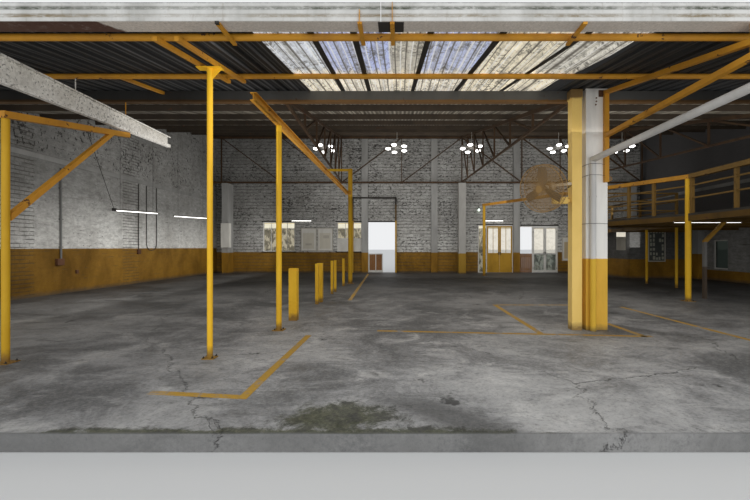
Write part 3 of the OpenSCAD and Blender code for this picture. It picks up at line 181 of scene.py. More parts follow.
def makeEffects():
    s, i, o = newEffect("brickCourses", {"Place": None, "Course": 0.105, "Length": 0.27, "Joint": 0.012, "Kept": 0.5},
                        ["Joint", "Shade", "Height"])
    x, y, z = s.xyz(i["Place"])
    along = s.sum("ADD", x, y)
    wall = s.vector(along, z, 0.0)
    row = s.sum("ADD", z, s.spread(s.noise(wall, 5.0, 3.0), 0, 1, -0.012, 0.012))
    bricks = s.add("ShaderNodeTexBrick", {
        "Vector": s.vector(along, row, 0.0), "Color1": (0, 0, 0, 1), "Color2": (1, 1, 1, 1),
        "Mortar": (0.5, 0.5, 0.5, 1), "Scale": 1.0, "Mortar Size": i["Joint"], "Mortar Smooth": 0.5, "Bias": 0.0,
        "Brick Width": i["Length"], "Row Height": i["Course"]})
    bed = s.sum("PINGPONG", row, s.sum("MULTIPLY", i["Course"], 0.5))
    bed = s.spread(bed, s.sum("MULTIPLY", i["Joint"], 0.4), i["Joint"], 1.0, 0.0)
    lines = s.either(bed, s.sum("MULTIPLY", bricks.outputs["Fac"], 0.4))
    filled = s.noise(s.stretch(wall, (1.3, 8.0, 1.0)), 1.0, 6.0, 0.75)
    level = s.spread(i["Kept"], 0, 1, 0.66, 0.36)
    shows = s.spread(filled, level, s.sum("ADD", level, 0.1))
    s.feed(o["Joint"], s.both(lines, shows))
    s.feed(o["Shade"], s.add("ShaderNodeSeparateColor", {0: bricks.outputs["Color"]}).outputs[0])
    s.feed(o["Height"], s.sum("SUBTRACT", 1.0, s.both(lines, shows)))

    s, i, o = newEffect("pits", {"Place": None, "Scale": 12.0, "Flatness": 1.8, "Amount": 0.3}, ["Mask"])
    flat = s.vector(1.0, 1.0, i["Flatness"])
    holes = s.noise(s.stretch(i["Place"], flat), i["Scale"], 4.0, 0.6)
    zones = s.noise(i["Place"], 0.6, 2.0)
    level = s.sum("ADD", s.sum("SUBTRACT", 0.82, s.sum("MULTIPLY", i["Amount"], 0.4)),
                  s.spread(zones, 0.3, 0.7, 0.05, -0.05))
    s.feed(o["Mask"], s.spread(holes, level, s.sum("ADD", level, 0.05)))

    s, i, o = newEffect("grime", {"Place": None, "Scale": 1.5, "Streak": 0.25, "Low": 0.45, "High": 0.75}, ["Mask"])
    drawn = s.stretch(i["Place"], s.vector(1.0, 1.0, i["Streak"]))
    broad = s.noise(drawn, i["Scale"], 5.0, 0.6, 0.3)
    s.feed(o["Mask"], s.spread(broad, i["Low"], i["High"]))

    s, i, o = newEffect("below", {"Place": None, "Level": 1.3, "Ragged": 0.01, "Edge": 0.004}, ["Mask"])
    z = s.xyz(i["Place"])[2]
    rough = s.sum("MULTIPLY", s.spread(s.noise(i["Place"], 9.0, 3.0), 0, 1, -1.0, 1.0), i["Ragged"])
    height = s.sum("ADD", z, rough)
    s.feed(o["Mask"], s.spread(height, s.sum("SUBTRACT", i["Level"], i["Edge"]),
                               s.sum("ADD", i["Level"], i["Edge"]), 1.0, 0.0))

    s, i, o = newEffect("chips", {"Place": None, "Scale": 9.0, "Amount": 0.3}, ["Mask", "Height"])
    broad = s.noise(i["Place"], i["Scale"], 6.0, 0.65)
    fine = s.noise(i["Place"], s.sum("MULTIPLY", i["Scale"], 5.0), 3.0)
    level = s.sum("SUBTRACT", 0.78, s.sum("MULTIPLY", i["Amount"], 0.3))
    edge = s.sum("ADD", broad, s.spread(fine, 0, 1, -0.04, 0.04))
    mask = s.spread(edge, level, s.sum("ADD", level, 0.015))
    s.feed(o["Mask"], mask)
    s.feed(o["Height"], s.sum("SUBTRACT", 1.0, mask))

    s, i, o = newEffect("outdoors", {"Place": None, "Side": innerX + 0.19, "Back": frontY + innerD + 0.19}, ["Mask"])
    x, y = s.xyz(i["Place"])[:2]
    side = s.sum("GREATER_THAN", s.sum("ABSOLUTE", x), i["Side"])
    s.feed(o["Mask"], s.either(side, s.sum("GREATER_THAN", y, i["Back"])))

    s, i, o = newEffect("grain", {"Place": None, "Scale": 60.0}, ["Value"])
    s.feed(o["Value"], s.noise(i["Place"], i["Scale"], 4.0, 0.65))


makeEffects()
print("effects made:", len(bpy.data.node_groups))


def newMaterial(name, shine=0.22):
    material = bpy.data.materials.new(name)
    material.use_nodes = True
    tree = material.node_tree
    tree.nodes.clear()
    shade = Shade(tree)
    shader = shade.add("ShaderNodeBsdfPrincipled")
    shader.inputs["Specular IOR Level"].default_value = shine
    output = shade.add("ShaderNodeOutputMaterial")
    tree.links.new(shader.outputs[0], output.inputs[0])
    where = shade.add("ShaderNodeTexCoord").outputs["Object"]
    return material, shade, shader, where


def bump(shade, height, depth):
    return shade.add("ShaderNodeBump", {"Strength": 1.0, "Distance": depth, "Height": height}).outputs[0]


# Walls

wallLook = {
    "white": (0.42, 0.42, 0.405),
    "whiteDull": (0.29, 0.285, 0.27),
    "joint": (0.055, 0.05, 0.042),
    "pit": (0.025, 0.022, 0.02),
    "dado": (0.32, 0.165, 0.018),
    "dadoDark": (0.13, 0.066, 0.01),
    "outside": (0.55, 0.54, 0.50),
    "outsideDull": (0.36, 0.35, 0.32),
    "outsideJoint": (0.27, 0.265, 0.25),
    "soil": (0.07, 0.062, 0.05),
    # painted shade: the dark colour of the right wall above the deck
    "paintedShadeColour": (0.095, 0.093, 0.095),
}

# Courses, how many joints still show, what stands in zones by distance or by height, and how dirty it is; low, high,
# front and left tone the paint as painted light and shade, and from a height up the right wall is painted dark as
# painted shade
wallPlans = {
    "brickLeft": {"course": 0.118, "length": 0.30, "joint": 0.02, "kept": 0.34, "marked": ((-1.2, 7.9), (11.7, 12.75)),
                  "pits": 0.34, "roughAbove": 4.42, "roughPits": 0.6, "dadoTop": 1.465, "paintedShadeFrom": None, "shown": 0.8,
                  "tone": 1.03, "low": 1.75, "high": 0.72, "front": 0.5, "left": 1.0},
    "brickBack": {"course": 0.19, "length": 0.40, "joint": 0.03, "kept": 0.85, "marked": (),
                  "pits": 0.62, "roughAbove": 12.0, "roughPits": 0.5, "dadoTop": 1.23, "paintedShadeFrom": None, "shown": 0.62,
                  "tone": 1.3, "low": 1.15, "high": 0.8, "front": 1.0, "left": 0.66},
    "brickRight": {"course": 0.118, "length": 0.30, "joint": 0.02, "kept": 0.4, "marked": (),
                   "pits": 0.3, "roughAbove": 12.0, "roughPits": 0.5, "dadoTop": 0.47, "paintedShadeFrom": 2.5, "shown": 0.8,
                   "tone": 0.72, "low": 1.0, "high": 0.82, "front": 1.0, "left": 1.0},
    "brickRoom": {"course": 0.118, "length": 0.30, "joint": 0.02, "kept": 0.4, "marked": (),
                  "pits": 0.3, "roughAbove": 12.0, "roughPits": 0.5, "dadoTop": 0.93, "paintedShadeFrom": None, "shown": 0.8,
                  "tone": 0.3, "low": 1.0, "high": 0.82, "front": 1.0, "left": 1.0},
}


def wallPaint(name):
    look, plan = wallLook, wallPlans[name]
    material, s, shader, where = newMaterial(name)
    x, y, z = s.xyz(where)
    kept = plan["kept"]
    for start, end in plan["marked"]:
        zone = s.both(s.spread(y, frontY + start - 0.05, frontY + start + 0.05),
                      s.spread(y, frontY + end - 0.05, frontY + end + 0.05, 1.0, 0.0))
        kept = s.either(kept, s.sum("MULTIPLY", zone, 0.85))
    bricks = s.effect("brickCourses", Place=where, Course=plan["course"], Length=plan["length"],
                      Joint=plan["joint"], Kept=kept)
    grime = s.effect("grime", Place=where, Scale=0.9, Streak=0.6, Low=0.38, High=0.72)[0]
    stain = s.effect("grime", Place=where, Scale=2.6, Streak=0.2, Low=0.55, High=0.8)[0]
    mottle = s.noise(s.stretch(where, (1.0, 1.0, 2.2)), 5.0, 6.0, 0.8)
    rough = s.spread(z, floorZ + plan["roughAbove"] - 0.02, floorZ + plan["roughAbove"] + 0.02)
    white = s.blend(grime, look["white"], look["whiteDull"])
    white = s.blend(s.spread(bricks["Shade"], 0, 1, 0, 0.45), white, look["whiteDull"])
    tone = s.sum("MULTIPLY", s.spread(mottle, 0.36, 0.64, 0.72, 1.25), plan["tone"])
    # Painted light and shade: lighter low on the wall, darker higher up, darker near the open front and towards the
    # left
    tone = s.sum("MULTIPLY", tone, s.spread(z, floorZ + 1.7, floorZ + 3.4, plan["low"], plan["high"]))
    front = s.spread(y, frontY + 6.5, frontY + 11.0, plan["front"], 1.0)
    tone = s.sum("MULTIPLY", tone, s.sum("MULTIPLY", front, s.spread(x, -11.5, -5.5, plan["left"], 1.0)))
    white = s.toned(white, tone)
    white = s.blend(s.both(bricks["Joint"], plan["shown"]), white, look["joint"])
    white = s.blend(s.both(stain, 0.35), white, look["soil"])
    flat = s.effect("pits", Place=where, Scale=9.0, Flatness=2.0, Amount=plan["pits"])[0]
    tall = s.effect("pits", Place=where, Scale=12.0, Flatness=0.7, Amount=plan["roughPits"])[0]
    holes = s.either(s.both(flat, s.sum("SUBTRACT", 1.0, rough)), s.both(tall, rough))
    white = s.blend(s.both(holes, 0.85), white, look["pit"])
    dado = s.blend(grime, look["dado"], look["dadoDark"])
    dado = s.blend(s.spread(mottle, 0.4, 0.7, 0.0, 0.5), dado, look["dadoDark"])
    dado = s.blend(s.both(bricks["Joint"], 0.6), dado, look["soil"])
    fewHoles = s.effect("pits", Place=where, Scale=7.0, Flatness=2.0, Amount=plan["pits"] * 0.5)[0]
    dado = s.blend(s.both(fewHoles, 0.7), dado, look["soil"])
    # Painted shade: the dado is darker near the open front too
    dado = s.toned(dado, front)
    painted = s.effect("below", Place=where, Level=floorZ + plan["dadoTop"])[0]
    inside = s.blend(painted, white, dado)
    # Painted shade: above the given height the wall is painted dark
    if plan["paintedShadeFrom"]:
        dark = s.spread(z, floorZ + plan["paintedShadeFrom"], floorZ + plan["paintedShadeFrom"] + 0.02)
        inside = s.blend(s.both(dark, s.spread(grime, 0, 1, 0.97, 0.85)), inside, look["paintedShadeColour"])
    foot = s.effect("below", Place=where, Level=floorZ + 0.09, Ragged=0.06, Edge=0.06)[0]
    inside = s.blend(s.both(foot, 0.7), inside, look["soil"])
    outside = s.blend(grime, look["outside"], look["outsideDull"])
    outside = s.blend(s.both(bricks["Joint"], 0.6), outside, look["outsideJoint"])
    outside = s.blend(s.both(stain, 0.5), outside, look["soil"])
    beyond = s.effect("outdoors", Place=where)[0]
    s.feed(shader.inputs["Base Color"], s.blend(beyond, inside, outside))
    clean = s.both(painted, s.sum("SUBTRACT", 1.0, grime))
    s.feed(shader.inputs["Roughness"], s.spread(clean, 0, 1, 0.85, 0.55))
    grain = s.sum("MULTIPLY", s.effect("grain", Place=where, Scale=45.0)[0], 0.4)
    relief = s.sum("SUBTRACT", s.sum("ADD", bricks["Height"], grain), s.sum("MULTIPLY", holes, 2.0))
    s.feed(shader.inputs["Normal"], bump(s, s.sum("ADD", relief, mottle), 0.005))
    return material


# Smooth coat; further back it is darker with painted shade, and its yellow foot can be lower there
def plasterPaint(name, dadoTop, white=(0.36, 0.358, 0.345), yellow=wallLook["dado"], yellowDark=wallLook["dadoDark"],
                 farTop=None, farShadeTone=1.0):
    look = wallLook
    material, s, shader, where = newMaterial(name)
    y = s.xyz(where)[1]
    far = s.spread(y, frontY + 3.0, frontY + 18.0)
    grime = s.effect("grime", Place=where, Scale=1.4, Streak=0.3, Low=0.4, High=0.75)[0]
    specks = s.effect("pits", Place=where, Scale=16.0, Flatness=1.0, Amount=0.12)[0]
    base = s.blend(grime, white, [v * 0.66 for v in white])
    dado = s.blend(grime, yellow, yellowDark)
    level = s.spread(far, 0, 1, floorZ + dadoTop, floorZ + (farTop or dadoTop))
    base = s.blend(s.effect("below", Place=where, Level=level)[0], base, dado)
    # Painted shade: darker further back
    tone = s.spread(far, 0, 1, 1.0, farShadeTone)
    base = s.toned(base, tone)
    base = s.blend(s.both(specks, 0.75), base, look["soil"])
    foot = s.effect("below", Place=where, Level=floorZ + 0.06, Ragged=0.05, Edge=0.05)[0]
    base = s.blend(s.both(foot, 0.65), base, look["soil"])
    s.feed(shader.inputs["Base Color"], base)
    s.feed(shader.inputs["Roughness"], s.spread(grime, 0, 1, 0.55, 0.85))
    relief = s.sum("SUBTRACT", s.effect("grain", Place=where, Scale=30.0)[0], s.sum("MULTIPLY", specks, 1.5))
    s.feed(shader.inputs["Normal"], bump(s, relief, 0.003))
    return material


# Floor

floorLook = {
    "light": (0.43, 0.424, 0.41),
    "concrete": (0.275, 0.273, 0.268),
    "dark": (0.13, 0.13, 0.128),
    "dust": (0.50, 0.49, 0.465),
    "oil": (0.03, 0.03, 0.028),
    "paint": (0.46, 0.27, 0.04),
    "crack": (0.035, 0.034, 0.03),
    "moss": (0.05, 0.055, 0.028),
    "mossBright": (0.115, 0.115, 0.068),
    "mossAt": (-2.26, -0.6),
    "wetAt": (-1.15, -0.7),
    # where the painted light on the floor is centred, and how far it reaches
    "paintedLightAt": (-0.5, 0.7),
    "reach": (6.0, 5.0),
}


def slabConcrete(name):
    look = floorLook
    material, s, shader, where = newMaterial(name)
    x, y, z = s.xyz(where)
    cloud = s.noise(where, 0.33, 7.0, 0.62, 0.5)
    patch = s.noise(where, 1.15, 9.0, 0.74, 0.7)
    blotch = s.noise(where, 3.6, 9.0, 0.8, 0.4)
    fine = s.noise(where, 30.0, 6.0, 0.8)
    value = s.sum("ADD", s.sum("MULTIPLY", cloud, 0.5), s.sum("MULTIPLY", patch, 0.5))
    base = s.blend(s.spread(value, 0.42, 0.5), look["dark"], look["concrete"])
    base = s.blend(s.spread(value, 0.49, 0.6), base, look["light"])
    # Trodden dust, rubbed streaks and stains
    dusty = s.spread(s.sum("ADD", patch, s.spread(blotch, 0.3, 0.7, -0.12, 0.12)), 0.56, 0.66)
    base = s.blend(s.both(dusty, 0.7), base, look["dust"])
    streak = s.noise(s.stretch(where, (0.35, 2.2, 1.0)), 2.6, 7.0, 0.75, 0.4)
    base = s.blend(s.spread(streak, 0.56, 0.68, 0.0, 0.55), base, look["light"])
    stained = s.noise(s.stretch(where, (0.6, 1.6, 1.0)), 1.5, 8.0, 0.78, 0.6)
    base = s.blend(s.spread(stained, 0.53, 0.62, 0.0, 0.55), base, look["dark"])
    base = s.blend(s.spread(blotch, 0.52, 0.6, 0.0, 0.28), base, look["dark"])
    base = s.blend(s.spread(fine, 0.5, 0.7, 0.0, 0.4), base, look["dust"])
    base = s.blend(s.spread(fine, 0.48, 0.34, 0.0, 0.45), base, look["oil"])
    # Painted light near the open front, fading to painted shade further inside
    mainX, mainD = look["paintedLightAt"]
    aside = s.sum("DIVIDE", s.sum("SUBTRACT", x, mainX), look["reach"][0])
    ahead = s.sum("DIVIDE", s.sum("SUBTRACT", y, frontY + mainD), look["reach"][1])
    away = s.sum("SQRT", s.sum("ADD", s.sum("MULTIPLY", aside, aside), s.sum("MULTIPLY", ahead, ahead)))
    tone = s.sum("MULTIPLY", s.spread(away, 0.0, 1.0, 1.32, 0.7), s.spread(away, 1.0, 2.6, 1.0, 0.36))
    base = s.toned(base, tone)
    # Cracks
    bent = s.add("ShaderNodeVectorMath", {0: where, 1: s.vector(patch, cloud, 0.0)}, operation="ADD").outputs[0]
    cells = s.add("ShaderNodeTexVoronoi", {"Vector": bent, "Scale": 0.23}, feature="DISTANCE_TO_EDGE")
    crack = s.both(s.spread(cells.outputs["Distance"], 0.0003, 0.0015, 1.0, 0.0), s.spread(cloud, 0.44, 0.52))
    base = s.blend(s.both(crack, 0.75), base, look["crack"])
    spots = s.effect("pits", Place=where, Scale=2.4, Flatness=1.0, Amount=0.3)[0]
    base = s.blend(s.both(spots, 0.8), base, look["oil"])
    # Moss and wet dirt where water runs off at the front edge
    green = s.blend(s.spread(fine, 0.45, 0.6), look["moss"], look["mossBright"])
    green = s.blend(s.spread(blotch, 0.5, 0.62, 0.0, 0.8), green, look["oil"])
    mossX, mossD = look["mossAt"]
    near = s.both(s.spread(s.sum("ABSOLUTE", s.sum("SUBTRACT", x, mossX)), 0.05, 0.75, 1.0, 0.0),
                  s.spread(s.sum("ABSOLUTE", s.sum("SUBTRACT", y, frontY + mossD)), 0.05, 0.5, 1.0, 0.0))
    lip = s.both(s.spread(y, cadLow.y + 0.02, cadLow.y + 0.16, 1.0, 0.0),
                 s.spread(s.sum("ABSOLUTE", s.sum("SUBTRACT", x, mossX - 0.4)), 1.6, 2.4, 1.0, 0.25))
    damp = s.sum("ADD", s.either(s.sum("MULTIPLY", near, 1.3), lip), s.spread(blotch, 0.3, 0.7, -0.95, 0.4))
    damp = s.both(s.spread(damp, 0.12, 0.5), s.sum("GREATER_THAN", z, floorZ - 0.004))
    base = s.blend(s.both(damp, 0.85), base, green)
    wetX, wetD = look["wetAt"]
    wet = s.both(s.spread(s.sum("ABSOLUTE", s.sum("SUBTRACT", s.sum("ADD", x, y), wetX + frontY + wetD)), 0.15, 0.4,
                          1.0, 0.0), s.spread(y, frontY - 0.3, frontY - 0.05, 1.0, 0.0))
    base = s.blend(s.both(wet, s.spread(patch, 0.3, 0.6, 0.2, 0.75)), base, look["oil"])
    edge = s.both(s.spread(y, cadLow.y + 0.002, cadLow.y + 0.03, 1.0, 0.0), s.spread(patch, 0.3, 0.6, 0.3, 0.9))
    base = s.blend(edge, base, look["dark"])
    s.feed(shader.inputs["Base Color"], base)
    s.feed(shader.inputs["Roughness"], s.spread(patch, 0.3, 0.75, 0.45, 0.85))
    relief = s.sum("SUBTRACT", s.sum("ADD", s.sum("MULTIPLY", fine, 0.5), blotch), s.sum("MULTIPLY", crack, 2.0))
    s.feed(shader.inputs["Normal"], bump(s, relief, 0.003))
    return material


# Worn yellow marking with the slab showing through
def floorPaint(name):
    material, s, shader, where = newMaterial(name)
    worn = s.noise(where, 3.2, 7.0, 0.72, 0.5)
    fine = s.noise(where, 26.0, 4.0, 0.7)
    gone = s.spread(s.sum("ADD", worn, s.spread(fine, 0, 1, -0.12, 0.12)), 0.52, 0.66)
    base = s.blend(gone, floorLook["paint"], floorLook["concrete"])
    base = s.blend(s.spread(fine, 0.5, 0.7, 0.0, 0.5), base, floorLook["dark"])
    s.feed(shader.inputs["Base Color"], base)
    s.feed(shader.inputs["Roughness"], s.spread(gone, 0, 1, 0.6, 0.8))
    s.feed(shader.inputs["Normal"], bump(s, worn, 0.001))
    return material


# Painted metal and timber

# Worn paint; foot and cap are heights that rust covers from below and from above, and the tones darken
# what stands at the back or at the left as painted shade
def paintedMetal(name, colour, worn, under=(0.10, 0.05, 0.03), chipping=0.3, gloss=0.42, scale=6.0, foot=0.0,
                 cap=None, farShadeTone=1.0, leftShadeTone=1.0):
    material, s, shader, where = newMaterial(name)
    grime = s.effect("grime", Place=where, Scale=2.0, Streak=0.35, Low=0.4, High=0.8)[0]
    chips = s.effect("chips", Place=where, Scale=scale, Amount=chipping)
    base = s.blend(s.both(grime, 0.85), colour, worn)
    if farShadeTone < 1 or leftShadeTone < 1:
        # Painted shade: darker further back and towards the left
        x, y = s.xyz(where)[:2]
        tone = s.sum("MULTIPLY", s.spread(y, frontY + 2.0, frontY + 17.0, 1.0, farShadeTone),
                     s.spread(x, -6.6, -6.0, leftShadeTone, 1.0))
        base = s.toned(base, tone)
    base = s.blend(chips["Mask"], base, under)
    if foot:
        low = s.effect("below", Place=where, Level=floorZ + foot, Ragged=foot * 0.7, Edge=foot * 0.5)[0]
        base = s.blend(s.both(low, 0.75), base, under)
    if cap:
        kept = s.effect("below", Place=where, Level=floorZ + cap, Ragged=0.04, Edge=0.02)[0]
        base = s.blend(s.spread(kept, 0, 1, 0.85, 0.0), base, under)
    s.feed(shader.inputs["Base Color"], base)
    s.feed(shader.inputs["Roughness"], s.spread(s.either(s.both(grime, 0.5), chips["Mask"]), 0, 1, gloss, 0.85))
    relief = s.sum("ADD", chips["Height"], s.sum("MULTIPLY", s.effect("grain", Place=where, Scale=90.0)[0], 0.3))
    s.feed(shader.inputs["Normal"], bump(s, relief, 0.0008))
    return material


# Bands of finish, one above another: each is a colour and the height where it ends; with lit, painted light round a
# place across and painted shade beyond a stretch from it
def bandedPaint(name, bands, top, lit=None):
    material, s, shader, where = newMaterial(name)
    grime = s.effect("grime", Place=where, Scale=2.0, Streak=0.35, Low=0.4, High=0.8)[0]
    chips = s.effect("chips", Place=where, Scale=6.0, Amount=0.35)
    base = top
    for colour, height in reversed(bands):
        low = s.effect("below", Place=where, Level=floorZ + height, Ragged=0.02, Edge=0.01)[0]
        base = s.blend(low, base, colour)
    # Painted light near a place across, painted shade further away
    if lit:
        x = s.xyz(where)[0]
        away = s.sum("ABSOLUTE", s.sum("SUBTRACT", x, lit[0]))
        tone = s.spread(away, lit[1], lit[1] + 1.5, 1.0, 0.35)
        base = s.toned(base, tone)
    base = s.blend(s.both(grime, 0.5), base, s.blend(1.0, base, (0.55, 0.52, 0.5), "MULTIPLY"))
    base = s.blend(s.both(chips["Mask"], 0.8), base, (0.09, 0.05, 0.03))
    s.feed(shader.inputs["Base Color"], base)
    s.feed(shader.inputs["Roughness"], s.spread(grime, 0, 1, 0.55, 0.8))
    s.feed(shader.inputs["Normal"], bump(s, chips["Height"], 0.0008))
    return material


# Gutter paint: stained grooves, a dark top edge, and a speckled underside that rusts at one end
gutterLook = {"paint": (0.62, 0.615, 0.59), "dull": (0.38, 0.375, 0.35), "stain": (0.075, 0.085, 0.06),
              "brown": (0.24, 0.19, 0.12), "edge": (0.06, 0.058, 0.05), "under": (0.74, 0.67, 0.60),
              "speck": (0.50, 0.45, 0.395), "rust": (0.105, 0.055, 0.042), "rustPale": (0.25, 0.20, 0.18),
              "rustEnd": -4.76, "upper": 0.137, "lower": 0.058, "groove": 0.017, "edgeFrom": 0.186}


def gutterPaint(name):
    look = gutterLook
    material, s, shader, where = newMaterial(name)
    x, y, z = s.xyz(where)
    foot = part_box("gutter")[0].z
    grime = s.effect("grime", Place=where, Scale=2.2, Streak=0.5, Low=0.42, High=0.75)[0]
    blotch = s.noise(s.stretch(where, (1.0, 1.0, 3.0)), 9.0, 8.0, 0.8)
    zone = s.noise(where, 1.3, 4.0, 0.6)
    drip = s.noise(s.stretch(where, (1.0, 1.0, 0.12)), 16.0, 5.0, 0.7)
    face = s.blend(grime, look["paint"], look["dull"])
    face = s.blend(s.spread(drip, 0.56, 0.72, 0.0, 0.4), face, look["brown"])
    for height, colour, least in ((look["upper"], look["stain"], 0.4), (look["lower"], look["brown"], 0.15)):
        away = s.sum("ABSOLUTE", s.sum("SUBTRACT", z, foot + height))
        line = s.spread(away, look["groove"] * 0.4, look["groove"] * 1.6, 1.0, 0.0)
        patchy = s.both(s.spread(blotch, 0.36, 0.54), s.spread(zone, 0.36, 0.6, least, 1.0))
        face = s.blend(s.both(line, patchy), face, colour)
    face = s.blend(s.both(s.spread(blotch, 0.6, 0.72), 0.6), face, look["edge"])
    edge = s.spread(s.sum("ADD", z, s.spread(blotch, 0, 1, -0.012, 0.012)), foot + look["edgeFrom"],
                    foot + look["edgeFrom"] + 0.006)
    face = s.blend(edge, face, look["edge"])
    speckle = s.noise(where, 34.0, 7.0, 0.8)
    under = s.blend(s.spread(speckle, 0.4, 0.64), look["under"], look["speck"])
    under = s.blend(s.spread(zone, 0.4, 0.7, 0.0, 0.5), under, look["speck"])
    rust = s.blend(s.spread(blotch, 0.54, 0.66), look["rust"], look["rustPale"])
    rusty = s.sum("ADD", s.sum("ADD", x, s.sum("MULTIPLY", y, -1.0)), s.spread(blotch, 0, 1, -0.12, 0.12))
    limit = look["rustEnd"] - frontY - 0.12
    under = s.blend(s.spread(rusty, limit - 0.02, limit + 0.02, 1.0, 0.0), under, rust)
    down = s.xyz(s.add("ShaderNodeNewGeometry").outputs["True Normal"])[2]
    base = s.blend(s.sum("LESS_THAN", down, -0.7), face, under)
    s.feed(shader.inputs["Base Color"], base)
    s.feed(shader.inputs["Roughness"], s.spread(grime, 0, 1, 0.5, 0.8))
    s.feed(shader.inputs["Normal"], bump(s, s.effect("grain", Place=where, Scale=50.0)[0], 0.0008))
    return material


# Sheet with one finish below and a weathered one above
roofLook = {"outside": (0.42, 0.43, 0.43), "outsideDull": (0.25, 0.24, 0.22), "rust": (0.22, 0.10, 0.05)}


# Corrugated sheet: painted highlights as pale lines on the rib crests and painted shade as dark lines in the troughs,
# which can fade to the right, painted shade towards the left, and each sheet has its own tone
def roofSheet(name, inside, insideDull, ribLight, pitch, ribShare, leftShadeTone, rightRibs=1.0):
    look = roofLook
    material, s, shader, where = newMaterial(name)
    x = s.xyz(where)[0]
    sheetTone = s.noise(s.vector(s.sum("SNAP", x, 0.8), 0.0, 0.0), 3.1, 0.0)
    grime = s.noise(s.stretch(where, (1.0, 0.18, 0.18)), 1.8, 6.0, 0.65, 0.4)
    lit = s.noise(s.stretch(where, (1.2, 0.35, 0.35)), 1.1, 5.0, 0.7, 0.3)
    rust = s.noise(where, 2.2, 6.0, 0.7, 0.3)
    ribs = s.add("ShaderNodeTexWave", {"Vector": where, "Scale": math.pi / (10 * pitch), "Distortion": 0.0},
                 wave_type="BANDS", bands_direction="X", wave_profile="SIN").outputs[1]
    low = s.blend(s.spread(grime, 0.4, 0.72), inside, insideDull)
    low = s.blend(s.spread(sheetTone, 0.35, 0.65, 0.0, 0.35), low, insideDull)
    plain = s.spread(x, -2.0, 2.5, 1.0, rightRibs)
    # Painted shade: dark lines in the rib troughs
    low = s.blend(s.both(s.spread(ribs, 0.3, 0.0, 0.0, 0.7), plain), low, [v * 0.3 for v in inside])
    # Painted highlight: pale lines along the rib crests
    line = s.both(s.spread(ribs, 0.84, 0.97), s.spread(lit, 0.4, 0.62, ribShare * 0.3, ribShare))
    line = s.both(line, plain)
    low = s.blend(line, low, ribLight)
    # Painted shade towards the left
    tone = s.spread(x, -9.0, -3.5, leftShadeTone, 1.0)
    low = s.toned(low, tone)
    top = s.blend(s.spread(grime, 0.4, 0.72), look["outside"], look["outsideDull"])
    top = s.blend(s.spread(rust, 0.66, 0.76, 0.0, 0.6), top, look["rust"])
    faceUp = s.xyz(s.add("ShaderNodeNewGeometry").outputs["True Normal"])[2]
    base = s.blend(s.sum("GREATER_THAN", faceUp, 0.1), low, top)
    s.feed(shader.inputs["Base Color"], base)
    s.feed(shader.inputs["Roughness"], s.spread(grime, 0.3, 0.7, 0.5, 0.75))
    s.feed(shader.inputs["Normal"], bump(s, s.sum("ADD", ribs, s.effect("grain", Place=where, Scale=70.0)[0]), 0.003))
    return material


# Translucent sheets: a tint for each from left to right, cream behind the second purlin, and a slanted right edge; the
# sheets glow with painted light, and their wide ribs have painted shade in the troughs and a painted highlight on the
# crests
sheetLook = {"left": -3.4, "right": 1.2, "pitch": 0.0735, "glow": 0.5, "cream": (0.93, 0.86, 0.70), "creamFrom": 2.0,
             "slant": (1.19, 0.90), "slantD": (0.4, 3.3),
             "tints": [(-3.4, (0.66, 0.68, 0.72)), (-2.73, (0.54, 0.58, 0.76)), (-2.245, (0.52, 0.57, 0.78)),
                       (-1.85, (0.60, 0.57, 0.50)), (-1.41, (0.55, 0.59, 0.75)), (-0.60, (0.82, 0.76, 0.62)),
                       (0.30, (0.66, 0.64, 0.58))],
             "dirt": (0.30, 0.28, 0.24), "spot": (0.10, 0.09, 0.075), "dark": (0.03, 0.03, 0.03)}


